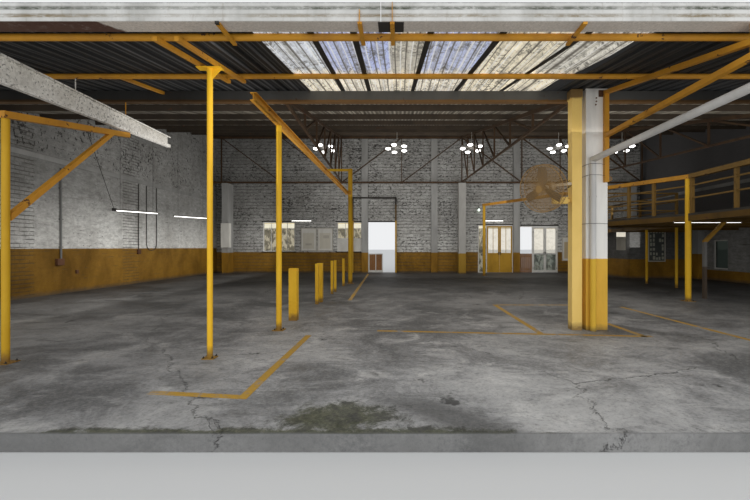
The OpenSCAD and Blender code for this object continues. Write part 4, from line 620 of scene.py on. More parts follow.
def translucentSheet(name):
    look = sheetLook
    material, s, shader, where = newMaterial(name)
    x, y = s.xyz(where)[:2]
    ramp = s.add("ShaderNodeValToRGB")
    ramp.color_ramp.interpolation = "CONSTANT"
    stops = ramp.color_ramp.elements
    for k, (edge, tint) in enumerate(look["tints"]):
        share = (edge - look["left"]) / (look["right"] - look["left"])
        stop = stops[k] if k < 2 else stops.new(share)
        stop.position = share
        stop.color = (*tint, 1)
    s.feed(ramp.inputs[0], s.spread(x, look["left"], look["right"]))
    fineRibs = s.add("ShaderNodeTexWave", {"Vector": where, "Scale": math.pi / (10 * look["pitch"]),
                                           "Distortion": 0.0},
                     wave_type="BANDS", bands_direction="X", wave_profile="SIN").outputs[1]
    wideRibs = s.add("ShaderNodeTexWave", {"Vector": where, "Scale": math.pi / (20 * look["pitch"]),
                                           "Distortion": 0.6, "Detail": 1.0, "Detail Scale": 0.4},
                     wave_type="BANDS", bands_direction="X", wave_profile="SIN").outputs[1]
    streak = s.noise(s.stretch(where, (7.0, 0.4, 0.4)), 2.2, 7.0, 0.75, 0.3)
    blot = s.noise(where, 11.0, 8.0, 0.8, 0.4)
    zone = s.noise(where, 1.7, 3.0, 0.6)
    back = s.spread(s.sum("ADD", y, s.spread(blot, 0, 1, -0.25, 0.25)), frontY + look["creamFrom"] - 0.15,
                    frontY + look["creamFrom"] + 0.15)
    tint = s.blend(s.both(back, 0.85), ramp.outputs[0], look["cream"])
    tintDirtAndRibLight = s.blend(s.spread(streak, 0.46, 0.64, 0.0, 0.75), tint, look["dirt"])
    tintDirtAndRibLight = s.blend(s.both(s.spread(blot, 0.47, 0.58), s.spread(zone, 0.4, 0.58, 0.3, 0.95)), tintDirtAndRibLight, look["spot"])
    tintDirtAndRibLight = s.blend(s.spread(fineRibs, 0.25, 0.0, 0.0, 0.45), tintDirtAndRibLight, look["dirt"])
    # Painted shade in the wide rib troughs and a painted highlight on their crests
    tintDirtAndRibLight = s.blend(s.spread(wideRibs, 0.06, 0.0, 0.0, 0.9), tintDirtAndRibLight, look["spot"])
    tintDirtAndRibLight = s.blend(s.spread(wideRibs, 0.94, 1.0, 0.0, 0.5), tintDirtAndRibLight, (0.95, 0.95, 0.93))
    (frontX, backX), (frontD, backD) = look["slant"], look["slantD"]
    over = s.sum("GREATER_THAN", x, s.spread(y, frontY + frontD, frontY + backD, frontX, backX))
    tintDirtAndRibLight = s.blend(over, tintDirtAndRibLight, look["dark"])
    s.feed(shader.inputs["Base Color"], tintDirtAndRibLight)
    # The glow is painted light
    s.feed(shader.inputs["Emission Color"], tintDirtAndRibLight)
    shader.inputs["Emission Strength"].default_value = look["glow"]
    shader.inputs["Roughness"].default_value = 0.65
    s.feed(shader.inputs["Normal"], bump(s, fineRibs, 0.008))
    shader.inputs["Transmission Weight"].default_value = 0.3
    shader.inputs["IOR"].default_value = 1.05
    return material


# Glass with smears and a painted reflection that changes at two heights; beyond a place across it is dark with painted
# shade
def clearGlass(name, tint, band, bandTop, lowTint, lowTop, sideShade=(0.02, 0.024, 0.02)):
    material, s, shader, where = newMaterial(name, 0.5)
    x = s.xyz(where)[0]
    smear = s.noise(where, 3.0, 5.0, 0.7, 0.3)
    shapes = s.noise(s.stretch(where, (2.0, 1.0, 1.1)), 2.6, 3.0, 0.6, 0.6)
    upper = s.effect("below", Place=where, Level=floorZ + bandTop, Ragged=0.03, Edge=0.01)[0]
    lower = s.effect("below", Place=where, Level=floorZ + lowTop, Ragged=0.05, Edge=0.03)[0]
    mirrored = s.blend(s.spread(shapes, 0.44, 0.54), lowTint, [v * 0.3 for v in lowTint])
    glass = s.blend(lower, s.blend(upper, tint, band), mirrored)
    glass = s.blend(s.spread(smear, 0.45, 0.8, 0.0, 0.4), glass, [v * 0.7 for v in tint])
    # Painted shade: the side window is dark
    glass = s.blend(s.sum("GREATER_THAN", x, innerX - 0.1), glass, sideShade)
    s.feed(shader.inputs["Base Color"], glass)
    s.feed(shader.inputs["Roughness"], s.spread(smear, 0.4, 0.8, 0.02, 0.22))
    shader.inputs["Transmission Weight"].default_value = 1.0
    shader.inputs["IOR"].default_value = 1.05
    return material


def galvanised(name):
    material, s, shader, where = newMaterial(name)
    flakes = s.add("ShaderNodeTexVoronoi", {"Vector": where, "Scale": 30.0}).outputs["Color"]
    flake = s.add("ShaderNodeSeparateColor", {0: flakes}).outputs[0]
    cloud = s.noise(where, 3.0, 6.0, 0.65)
    specks = s.effect("pits", Place=where, Scale=26.0, Flatness=1.0, Amount=0.55)[0]
    base = s.blend(flake, (0.72, 0.70, 0.65), (0.96, 0.94, 0.89))
    base = s.blend(s.spread(cloud, 0.45, 0.7, 0.0, 0.5), base, (0.52, 0.49, 0.43))
    base = s.blend(s.both(specks, 0.7), base, (0.16, 0.15, 0.13))
    s.feed(shader.inputs["Base Color"], base)
    s.feed(shader.inputs["Roughness"], s.spread(flake, 0, 1, 0.5, 0.7))
    s.feed(shader.inputs["Normal"], bump(s, s.effect("grain", Place=where, Scale=60.0)[0], 0.0008))
    return material


def glowing(name, colour, strength):
    material, s, shader, where = newMaterial(name)
    shade = s.noise(where, 20.0, 2.0)
    s.feed(shader.inputs["Base Color"], s.blend(shade, colour, tuple(v * 0.9 for v in colour)))
    s.feed(shader.inputs["Emission Color"], s.blend(shade, colour, tuple(v * 0.95 for v in colour)))
    shader.inputs["Emission Strength"].default_value = strength
    return material


materials = {
    "brickLeft": wallPaint("brickLeft"),
    "brickBack": wallPaint("brickBack"),
    "brickRight": wallPaint("brickRight"),
    "brickRoom": wallPaint("brickRoom"),
    "plaster": plasterPaint("plaster", 1.2),
    "bandConcrete": plasterPaint("bandConcrete", -1.0, (0.26, 0.26, 0.25)),
    "columnPaint": plasterPaint("columnPaint", 1.3, (0.90, 0.88, 0.83), (0.78, 0.46, 0.06), (0.55, 0.31, 0.04),
                                farTop=1.16, farShadeTone=0.42),
    "slab": slabConcrete("slab"),
    "postYellow": paintedMetal("postYellow", (0.95, 0.56, 0.032), (0.70, 0.36, 0.02), chipping=0.22, foot=0.12,
                                farShadeTone=0.5, leftShadeTone=0.62),
    "frameYellow": paintedMetal("frameYellow", (0.62, 0.295, 0.03), (0.34, 0.15, 0.03), chipping=0.5, farShadeTone=0.7),
    # Painted shade: the yellow railing is given a dark brown
    "railPaint": paintedMetal("railPaint", (0.20, 0.115, 0.028), (0.10, 0.065, 0.022), chipping=0.5, gloss=0.6),
    "gatewayPaint": bandedPaint("gatewayPaint", [((0.50, 0.29, 0.03), 3.1), ((0.11, 0.065, 0.02), 4.05)],
                                (0.03, 0.026, 0.022)),
    "boxYellow": paintedMetal("boxYellow", (0.95, 0.665, 0.205), (0.78, 0.52, 0.13), chipping=0.2, foot=0.1, cap=4.22),
    # Painted shade: the yellow deck beams are given a dark brown
    "beamYellow": paintedMetal("beamYellow", (0.12, 0.066, 0.014), (0.05, 0.03, 0.01), chipping=0.45),
    "purlinBrown": paintedMetal("purlinBrown", (0.062, 0.048, 0.036), (0.10, 0.075, 0.052), under=(0.09, 0.045, 0.026),
                                chipping=0.4, gloss=0.6, leftShadeTone=0.6),
    "brownSteel": paintedMetal("brownSteel", (0.055, 0.033, 0.02), (0.11, 0.068, 0.036), under=(0.12, 0.05, 0.026),
                               chipping=0.5, gloss=0.6),
    "frontBeamPaint": bandedPaint("frontBeamPaint", [((0.17, 0.09, 0.032), 4.25)], (0.10, 0.098, 0.092),
                                  lit=(-0.9, 3.2)),
    "canopySheet": roofSheet("canopySheet", (0.02, 0.022, 0.024), (0.045, 0.045, 0.047), (0.20, 0.20, 0.20), 0.0805,
                             0.75, 0.65, 0.25),
    "mainSheet": roofSheet("mainSheet", (0.21, 0.19, 0.155), (0.30, 0.265, 0.21), (0.66, 0.61, 0.50), 0.12, 0.9, 0.4),
    "rooflight": translucentSheet("rooflight"),
    "gutterPaint": gutterPaint("gutterPaint"),
    "pipePaint": plasterPaint("pipePaint", 1.3, (0.66, 0.65, 0.63), (0.74, 0.46, 0.05), (0.55, 0.33, 0.04)),
    "channelZinc": galvanised("channelZinc"),
    "deckGrey": plasterPaint("deckGrey", -1.0, (0.05, 0.045, 0.038)),
    "proppedPaint": bandedPaint("proppedPaint", [((0.10, 0.075, 0.055), 0.94), ((0.20, 0.195, 0.185), 1.66)],
                                (0.42, 0.23, 0.035)),
    "whitePaint": paintedMetal("whitePaint", (0.66, 0.65, 0.61), (0.46, 0.44, 0.40), under=(0.3, 0.27, 0.22),
                               chipping=0.15),
    "glass": clearGlass("glass", (0.86, 0.74, 0.48), (0.98, 0.92, 0.72), 2.92, (0.46, 0.41, 0.30), 2.66),
    "doorGlass": clearGlass("doorGlass", (0.60, 0.52, 0.36), (0.92, 0.86, 0.74), 2.62, (0.27, 0.285, 0.24), 1.15),
    "doorYellow": paintedMetal("doorYellow", (0.50, 0.285, 0.03), (0.30, 0.165, 0.02), chipping=0.15),
    "slatTimber": paintedMetal("slatTimber", (0.26, 0.12, 0.04), (0.15, 0.07, 0.03), chipping=0.2),
    "fanEnamel": paintedMetal("fanEnamel", (0.21, 0.155, 0.10), (0.15, 0.11, 0.07), chipping=0.25),
    "lampGlow": glowing("lampGlow", (1.0, 0.98, 0.95), 6.0),
    "tubeGlow": glowing("tubeGlow", (1.0, 0.99, 0.96), 2.4),
    "bulbGlow": glowing("bulbGlow", (0.85, 1.0, 0.85), 3.0),
    "darkSheet": paintedMetal("darkSheet", (0.03, 0.028, 0.026), (0.06, 0.05, 0.04), gloss=0.6),
    "linePaint": floorPaint("linePaint"),
    "conduit": paintedMetal("conduit", (0.15, 0.15, 0.145), (0.10, 0.095, 0.09), chipping=0.1),
    "conduitDark": paintedMetal("conduitDark", (0.06, 0.057, 0.05), (0.09, 0.08, 0.07), chipping=0.2),
    "rustyBox": paintedMetal("rustyBox", (0.12, 0.055, 0.03), (0.08, 0.04, 0.025), chipping=0.4),
    "rubber": paintedMetal("rubber", (0.02, 0.02, 0.02), (0.04, 0.04, 0.04), chipping=0.05, gloss=0.5),
    "fanWire": paintedMetal("fanWire", (0.42, 0.26, 0.10), (0.28, 0.17, 0.06), chipping=0.2),
    "fanCase": paintedMetal("fanCase", (0.66, 0.55, 0.40), (0.42, 0.33, 0.22), chipping=0.2),
    "boardTrim": paintedMetal("boardTrim", (0.46, 0.43, 0.37), (0.33, 0.30, 0.26), chipping=0.2),
    "boardBack": paintedMetal("boardBack", (0.075, 0.08, 0.075), (0.05, 0.05, 0.045), chipping=0.1),
    "paperSheet": paintedMetal("paperSheet", (0.58, 0.55, 0.47), (0.44, 0.41, 0.34), under=(0.3, 0.27, 0.2),
                               chipping=0.05),
    "noteSheet": paintedMetal("noteSheet", (0.36, 0.36, 0.29), (0.24, 0.25, 0.20), chipping=0.05),
    "tanSheet": paintedMetal("tanSheet", (0.52, 0.42, 0.26), (0.40, 0.31, 0.18), chipping=0.05),
    "battenGrey": paintedMetal("battenGrey", (0.16, 0.155, 0.14), (0.10, 0.095, 0.085), chipping=0.15),
}
print("materials made:", len(materials))

dress = {
    "slab": ["floor_slab"],
    "brickLeft": ["left_wall"],
    "brickRight": ["right_wall"],
    "brickRoom": ["corner_room_walls"],
    "brickBack": ["back_wall_left", "back_wall_right", "door_lintels"],
    "plaster": ["wall_pilasters"],
    "bandConcrete": ["side_wall_bands"],
    "columnPaint": ["concrete_columns"],
    "boxYellow": ["box_post"],
    "postYellow": ["canopy_posts", "hoist_posts", "mezzanine_posts", "bollards"],
    "frameYellow": ["lower_rafter", "canopy_rafters", "canopy_purlins", "column_bracket", "gutter_brackets",
                    "hoist_beam", "high_rail"],
    "railPaint": ["mezzanine_railing"],
    "gatewayPaint": ["gateway_frame"],
    "beamYellow": ["mezzanine_beams"],
    "frontBeamPaint": ["front_beam"],
    "purlinBrown": ["roof_purlins"],
    "brownSteel": ["roof_trusses", "cross_truss"],
    "canopySheet": ["canopy_sheets"],
    "mainSheet": ["roof_sheets"],
    "rooflight": ["canopy_rooflight"],
    "gutterPaint": ["gutter"],
    "pipePaint": ["downpipe"],
    "channelZinc": ["steel_channel"],
    "deckGrey": ["mezzanine_floor"],
    "proppedPaint": ["propped_post"],
    "whitePaint": ["lamp_clusters", "tube_lights", "window_frames", "wall_boards", "door_frames",
                   "glass_door_left", "glass_door_right", "low_gate"],
    "glass": ["window_glass"],
    "doorYellow": ["yellow_door_left", "yellow_door_right"],
    "slatTimber": ["slatted_gate"],
    "fanEnamel": ["fan_motor", "fan_guard", "fan_rotor"],
}
for look, names in dress.items():
    for name in names:
        mesh = nodes[name].data
        mesh.materials.clear()
        mesh.materials.append(materials[look])
print("nodes dressed:", sum(len(v) for v in dress.values()))


# Mesh building

# Collects the faces of one piece
class Maker:
    def __init__(self):
        self.bm = bmesh.new()

    def block(self, low, high, bevel=0.0, turn=None):
        low, high = Vector(low), Vector(high)
        shift = Matrix.Translation((low + high) / 2)
        if turn is not None:
            shift = shift @ turn
        made = bmesh.ops.create_cube(self.bm, size=1.0, matrix=shift @ Matrix.Diagonal((*(high - low), 1.0)))
        if bevel:
            edges = {e for v in made["verts"] for e in v.link_edges}
            bmesh.ops.bevel(self.bm, geom=list(edges), offset=bevel, segments=1, affect="EDGES")

    def bar(self, a, b, wide, high, bevel=0.003, up=Vector((0, 0, 1))):
        a, b = Vector(a), Vector(b)
        run = b - a
        along = run.normalized()
        side = along.cross(up).normalized()
        if side.length < 0.5:
            side = Vector((1, 0, 0))
        over = side.cross(along)
        turn = Matrix((along, side, over)).transposed().to_4x4()
        half = Vector((run.length / 2, wide / 2, high / 2))
        middle = (a + b) / 2
        self.block(middle - half, middle + half, bevel, turn)

    def tube(self, points, radius, sides=10, closed=False):
        points = [Vector(v) for v in points]
        count = len(points)
        rings = []
        normal = None
        for k, point in enumerate(points):
            before = points[k - 1] if k or closed else point
            after = points[(k + 1) % count] if k < count - 1 or closed else point
            run = (after - before).normalized()
            if normal is None:
                normal = run.orthogonal().normalized()
            else:
                normal = (normal - run * normal.dot(run)).normalized()
            side = run.cross(normal)
            size = radius[k] if isinstance(radius, (list, tuple)) else radius
            rings.append([self.bm.verts.new(point + (normal * math.cos(t) + side * math.sin(t)) * size)
                          for t in (math.tau * j / sides for j in range(sides))])
        for k in range(count if closed else count - 1):
            one, two = rings[k], rings[(k + 1) % count]
            for j in range(sides):
                self.bm.faces.new((one[j], one[(j + 1) % sides], two[(j + 1) % sides], two[j]))
        if not closed:
            self.bm.faces.new(list(reversed(rings[0])))
            self.bm.faces.new(rings[-1])

    def ring(self, centre, axis, radius, thick, count=48, sides=6):
        axis = Vector(axis).normalized()
        one = axis.orthogonal().normalized()
        two = axis.cross(one)
        self.tube([Vector(centre) + (one * math.cos(t) + two * math.sin(t)) * radius
                   for t in (math.tau * k / count for k in range(count))], thick, sides, closed=True)

    # Turns pairs of radius and height round an axis and closes the ends
    def lathe(self, profile, centre=(0, 0, 0), axis=(0, 0, 1), count=24):
        axis = Vector(axis).normalized()
        one = axis.orthogonal().normalized()
        two = axis.cross(one)
        centre = Vector(centre)
        rings = [[self.bm.verts.new(centre + axis * height + (one * math.cos(t) + two * math.sin(t)) * radius)
                  for t in (math.tau * j / count for j in range(count))] for radius, height in profile]
        for a, b in zip(rings, rings[1:]):
            for j in range(count):
                self.bm.faces.new((a[j], a[(j + 1) % count], b[(j + 1) % count], b[j]))
        self.bm.faces.new(list(reversed(rings[0])))
        self.bm.faces.new(rings[-1])

    # Draws an outline of distance and height along X
    def run(self, outline, start, end):
        ends = [[self.bm.verts.new((x, d, z)) for d, z in outline] for x in (start, end)]
        count = len(outline)
        for j in range(count):
            self.bm.faces.new((ends[0][j], ends[0][(j + 1) % count], ends[1][(j + 1) % count], ends[1][j]))
        self.bm.faces.new(list(reversed(ends[0])))
        self.bm.faces.new(ends[1])

    # Four bars round an opening that faces front to back
    def frameRing(self, low, high, wide, bevel=0.002):
        x1, d1, z1 = low
        x2, d2, z2 = high
        self.block((x1, d1, z1), (x1 + wide, d2, z2), bevel)
        self.block((x2 - wide, d1, z1), (x2, d2, z2), bevel)
        self.block((x1 + wide, d1, z1), (x2 - wide, d2, z1 + wide), bevel)
        self.block((x1 + wide, d1, z2 - wide), (x2 - wide, d2, z2), bevel)

    def piece(self, name, look, slot, body="hall", replaces=(), smooth=False):
        bmesh.ops.recalc_face_normals(self.bm, faces=self.bm.faces)
        mesh = bpy.data.meshes.new(name)
        self.bm.to_mesh(mesh)
        self.bm.free()
        if smooth:
            mesh.shade_smooth()
            mesh.set_sharp_from_angle(angle=math.radians(40))
        made = bpy.data.objects.new(name, mesh)
        bpy.context.scene.collection.objects.link(made)
        mesh.materials.append(materials[look])
        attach(made, body)
        if replaces:
            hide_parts(*replaces)
        return made


def hexBolts(maker, spots, radius=0.014, high=0.012):
    for spot in spots:
        maker.lathe([(radius, 0.0), (radius, high), (radius * 0.45, high), (radius * 0.45, high * 2.2)],
                    spot, (0, 0, 1), 6)


# Gutter

gutterShape = {"face": [(0.0, 0.0), (-0.004, 0.006), (-0.005, 0.04), (0.004, 0.05), (0.004, 0.066), (-0.005, 0.076),
                        (-0.005, 0.118), (0.004, 0.128), (0.004, 0.146), (-0.005, 0.156), (-0.004, 0.192),
                        (0.004, 0.199)],
               "thick": 0.005, "lengths": ((-12.899, -1.902), (-1.896, 12.899)), "sleeve": (-1.93, -1.66),
               "hook": (-3.622, -3.578), "straps": ((-2.12, 0.11), (-1.78, 0.185)), "clip": (2.585, 2.615)}


def makeGutter():
    low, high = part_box("gutter")
    face = [(low.y + 0.006 + d, low.z + z) for d, z in gutterShape["face"]]
    back = high.y
    thick = gutterShape["thick"]
    inner = [(y + thick, z) for y, z in reversed(face[1:])] + [(low.y + 0.012, low.z + thick)]
    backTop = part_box("canopy_sheets")[0].z - 0.008
    outline = face + inner + [(back - thick, low.z + thick), (back - thick, backTop), (back, backTop),
                              (back, low.z)]
    maker = Maker()
    for start, end in gutterShape["lengths"]:
        maker.run(outline, start, end)
    for x in (gutterShape["lengths"][0][0], gutterShape["lengths"][1][1] - 0.004):
        maker.block((x, low.y + 0.012, low.z + 0.005), (x + 0.004, back - 0.06, high.z - 0.01))
    maker.piece("gutter_profile", "gutterPaint", "gutter", replaces=("gutter",))

    maker = Maker()
    x1, x2 = gutterShape["sleeve"]
    maker.block((x1, low.y + 0.014, low.z - 0.008), (x2, back - 0.004, low.z - 0.001), 0.001)
    x1, x2 = gutterShape["hook"]
    maker.block((x1, low.y - 0.006, low.z - 0.028), (x2, low.y + 0.03, low.z - 0.001), 0.002)
    maker.piece("gutter_sleeve", "darkSheet", "gutter")

    maker = Maker()
    for x, rise in gutterShape["straps"]:
        maker.bar((x, low.y - 0.006, low.z - 0.03), (x, low.y - 0.006, low.z + rise), 0.04, 0.006, 0.001,
                  Vector((1, 0, 0)))
    x1, x2 = gutterShape["clip"]
    maker.bar((x1, low.y - 0.014, low.z + 0.02), (x2, low.y + 0.02, low.z - 0.02), 0.03, 0.008, 0.001)
    maker.piece("gutter_straps", "frameYellow", "yellow_paint")


# Translucent strip laps and roof fixings

# Height and distance at which the underside of each roof starts, and its rise for each metre
roofPlanes = {"canopy": (4.05, 0.21, 0.16662), "main": (4.65, 3.35, 0.22792)}
purlinRows = {"first": 3.65, "apart": 2.2143, "count": 8}
lapStrip = {"across": (((-3.38, -3.38), 0.05), ((-2.705, -2.75), 0.075), ((-2.2226, -2.27), 0.075),
                       ((-1.353, -1.467), 0.07), ((-0.531, -0.664), 0.08), ((0.4375, 0.1755), 0.07)),
            "thick": 0.006, "drop": 0.002, "from": 0.24, "to": 3.27}
roofScrews = {"profile": [(0.02, 0.0), (0.016, 0.004), (0.009, 0.004), (0.009, 0.012)], "lift": 0.037,
              "first": -12.5, "apart": 0.6, "inRow": 42, "canopyRows": (0.4, 2.1), "rooflight": (-3.45, 1.25),
              "axis": {"canopy": (0, -0.164, 0.986), "main": (0, -0.222, 0.975)}}


def underside(roof, d):
    height, start, rise = roofPlanes[roof]
    return height + (d - start) * rise


def purlinPlaces():
    return [purlinRows["first"] + purlinRows["apart"] * k for k in range(purlinRows["count"])]


def makeRoofDetail():
    laps = Maker()
    d1, d2 = lapStrip["from"], lapStrip["to"]
    lift = lapStrip["drop"] + lapStrip["thick"] / 2
    for (x1, x2), wide in lapStrip["across"]:
        laps.bar(groundPlace(x1, d1, underside("canopy", d1) - lift),
                 groundPlace(x2, d2, underside("canopy", d2) - lift), wide, lapStrip["thick"], 0.0)
    laps.piece("rooflight_laps", "darkSheet", "roof_sheet")

    # Screws with washers over the purlins, apart from the translucent strip
    screws = Maker()
    rows = [("canopy", d) for d in roofScrews["canopyRows"]] + [("main", d) for d in purlinPlaces()]
    left, right = roofScrews["rooflight"]
    for roof, d in rows:
        for k in range(roofScrews["inRow"]):
            x = roofScrews["first"] + roofScrews["apart"] * k
            if roof == "canopy" and left < x < right:
                continue
            screws.lathe(roofScrews["profile"], groundPlace(x, d, underside(roof, d) + roofScrews["lift"]),
                         roofScrews["axis"][roof], 6)
    screws.piece("roof_screws", "darkSheet", "roof_sheet")


# Steel plates: gussets, cleats and foot bolts; each foot is a place across and back, and the reach of its bolts

steelDetail = {"trussPitch": 3.5, "trussFirst": -12.1, "trussPosts": 8, "gusset": 0.2, "gussetInset": 0.035,
               "cleatsAcross": (-9.6, 1.9, 7.6, 11.4, -12.6, 12.5), "cleatDrop": 0.075,
               "feet": ((-9.9, 1.28, 0.06), (-4.28, 1.28, 0.06), (5.4, 1.28, 0.06), (9.9, 1.28, 0.06),
                        (-6.827, 1.05, 0.075), (-3.9, 3.12, 0.06), (6.37, 7.05, 0.085), (2.8, 17.25, 0.085),
                        (6.37, 3.895, 0.085)),
               "footTop": 0.0115}


def makeSteelDetail():
    shape = steelDetail
    low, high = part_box("cross_truss")
    y = low.y - 0.004
    gussets = Maker()
    size = shape["gusset"] / 2
    for k in range(shape["trussPosts"]):
        x = shape["trussFirst"] + shape["trussPitch"] * k
        for z in (low.z + shape["gussetInset"], high.z - shape["gussetInset"]):
            gussets.block((x - size, y - 0.004, z - size * 0.7), (x + size, y + 0.003, z + size * 0.7))
    gussets.piece("truss_gussets", "brownSteel", "brown_steel")

    cleats = Maker()
    for d in purlinPlaces():
        y, z = frontY + d, underside("main", d) - shape["cleatDrop"]
        for x in shape["cleatsAcross"]:
            cleats.block((x - 0.04, y + 0.034, z - 0.06), (x + 0.04, y + 0.042, z + 0.05))
    cleats.piece("purlin_cleats", "brownSteel", "brown_steel")

    bolts = Maker()
    for x, d, reach in shape["feet"]:
        hexBolts(bolts, [(x + a * reach, frontY + d + b * reach, floorZ + shape["footTop"])
                         for a in (-1, 1) for b in (-1, 1)])
    bolts.piece("foot_bolts", "darkSheet", "brown_steel")


# Floor markings, as runs of places across and back

floorLines = {"width": 0.1, "thick": 0.0016, "lift": 0.001, "lapLift": 0.0006,
              "runs": (((-4.24, -0.02), (-3.27, -0.14), (-3.26, 2.63)), ((-3.13, 7.3), (-3.5, 18.5)),
                       ((-2.06, 3.05), (2.5, 2.6)), ((0.77, 6.3), (2.73, 6.28)), ((0.78, 6.25), (0.756, 2.87)),
                       ((2.387, 3.9), (2.42, 2.6)), ((3.88, 5.9), (3.975, 2.2)), ((-7.0, 1.0), (-6.9, 0.55)))}


def makeFloorLines():
    lines = Maker()
    half = floorLines["width"] / 2
    for points in floorLines["runs"]:
        for k, ((x1, d1), (x2, d2)) in enumerate(zip(points, points[1:])):
            z = floorZ + floorLines["lift"] + floorLines["lapLift"] * k
            a, b = groundPlace(x1, d1, z), groundPlace(x2, d2, z)
            run = (b - a).normalized()
            lines.bar(a - run * half, b + run * half, floorLines["width"], floorLines["thick"], 0.0)
    lines.piece("floor_lines", "linePaint", "yellow_paint")


# Lights

lampShape = {"across": (-5.26, -1.84, 1.69, 5.8, 8.8), "height": 6.33, "ring": 0.42, "turn": 35, "each": 5, "tilt": 11,
             "hub": [(0.09, 0.02), (0.11, 0.03), (0.11, 0.085), (0.05, 0.1)],
             "shade": [(0.124, 0.0), (0.128, 0.006), (0.118, 0.03), (0.09, 0.074), (0.062, 0.08), (0.062, 0.125),
                       (0.04, 0.133)],
             "lens": [(0.02, -0.05), (0.07, -0.042), (0.112, -0.018), (0.123, 0.003)]}


def makeLamps():
    shape = lampShape
    low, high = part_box("lamp_clusters")
    body, lens = Maker(), Maker()
    tilt = Matrix.Rotation(math.radians(-shape["tilt"]), 3, "X")
    up = tilt @ Vector((0, 0, 1))
    for x in shape["across"]:
        middle = Vector((x, (low.y + high.y) / 2, shape["height"]))
        body.lathe(shape["hub"], middle, up)
        body.tube([middle + up * 0.08, (x, (low.y + high.y) / 2, high.z)], 0.012, 8)
        body.ring(middle + up * 0.055, up, 0.2, 0.008, 30, 6)
        for k in range(shape["each"]):
            turn = math.radians(shape["turn"] + 360 / shape["each"] * k)
            out = tilt @ Vector((math.cos(turn), math.sin(turn), 0))
            centre = middle + out * shape["ring"]
            body.bar(middle + up * 0.055 + out * 0.08, centre + up * 0.055 - out * 0.05, 0.022, 0.028, 0.003, up)
            body.lathe(shape["shade"], centre, up, 20)
            lens.lathe(shape["lens"], centre, up, 20)
    body.piece("lamp_shades", "whitePaint", "lamp", replaces=("lamp_clusters",), smooth=True)
    lens.piece("lamp_lenses", "lampGlow", "lamp", smooth=True)


# Tubes that hang at a turn, tubes fixed straight with a length each, and the wire at the left wall with its box
tubeShape = {"hung": ((-12.085, 11.65), (-11.4, 14.4)), "hungTurn": 59, "hungHeight": 3.03, "hungLength": 1.6,
             "hangerReach": 0.6,
             "fixed": ((-7.6, 19.815, 3.23, 1.2), (3.87, 19.815, 3.23, 1.26), (7.52, 7.85, 2.39, 2.06)),
             "stems": (7.52, 7.85, 0.8, 2.47, 2.54),
             "wire": ((-12.49, 10.97, 3.06), (-12.56, 10.6, 4.0), (-12.685, 9.93, 5.68)),
             "box": ((-12.55, 10.9, 3.03), (-12.44, 11.02, 3.14))}


def makeTubes():
    shape = tubeShape
    batten, glow, wires = Maker(), Maker(), Maker()
    turn = math.radians(shape["hungTurn"])
    up = Vector((0, 0, 1))
    spots = [(x, d, shape["hungHeight"], turn, shape["hungLength"]) for x, d in shape["hung"]]
    spots += [(x, d, z, 0, length) for x, d, z, length in shape["fixed"]]
    for x, d, z, turned, length in spots:
        along = Vector((math.cos(turned), math.sin(turned), 0))
        centre = groundPlace(x, d, z)
        half = along * length / 2
        batten.bar(centre - half + up * 0.064, centre + half + up * 0.064, 0.068, 0.044, 0.006)
        for s in (-1, 1):
            batten.bar(centre + half * s + up * 0.02, centre + half * s * 0.975 + up * 0.02, 0.04, 0.05, 0.004)
        glow.tube([centre - half * 0.972 + up * 0.018, centre + half * 0.972 + up * 0.018], 0.0165, 14)
    for x, d in shape["hung"]:
        for s in (-1, 1):
            out, back = (s * shape["hangerReach"] * part(turn) for part in (math.cos, math.sin))
            spot = (x + out, frontY + d + back)
            wires.tube([(*spot, shape["hungHeight"] + 0.08), (*spot, underside("main", d + back) - 0.002)], 0.0045, 6)
    x, d, reach, z1, z2 = shape["stems"]
    for s in (-1, 1):
        wires.tube([groundPlace(x + s * reach, d, z1), groundPlace(x + s * reach, d, z2)], 0.008, 8)
    wires.tube([groundPlace(*point) for point in shape["wire"]], 0.008, 8)
    wires.block(*(groundPlace(*corner) for corner in shape["box"]), 0.01)
    batten.piece("tube_battens", "battenGrey", "lamp", replaces=("tube_lights",))
    glow.piece("tube_glow", "tubeGlow", "lamp", smooth=True)
    wires.piece("tube_hangers", "darkSheet", "lamp")


# Fan

fanShape = {"centre": (0.84, 2.96, 2.55), "axis": (-0.7493, -0.6287, -0.2079), "radius": 0.414, "depth": 0.26,
            "dome": 0.06, "wire": 0.0024, "rings": 17, "innerRing": 0.06, "spokes": 64, "rimWires": 16, "blades": 3,
            "cap": [(0.058, 0.0), (0.062, 0.003), (0.06, 0.008), (0.03, 0.011)],
            "hub": [(0.03, 0.05), (0.046, 0.042), (0.048, -0.045), (0.03, -0.05), (0.012, -0.05), (0.012, -0.185)],
            "root": 0.04, "tipGap": 0.034, "bladeHalf": (0.035, 0.055), "pitch": (42, 24), "bladeLift": 0.0015,
            "fins": 8, "cableSags": (0.10, 0.17, 0.05)}
fanCentre = place(*fanShape["centre"])
fanAxis = Vector(fanShape["axis"]).normalized()
fanOne = fanAxis.orthogonal().normalized()
fanTwo = fanAxis.cross(fanOne)


# A point at a radius, a turn and a height along the fan's axis
def fanSpot(r, t, h):
    return fanCentre + fanAxis * h + (fanOne * math.cos(t) + fanTwo * math.sin(t)) * r


def domeHeight(r):
    return fanShape["depth"] / 2 - fanShape["dome"] * (r / fanShape["radius"]) ** 2


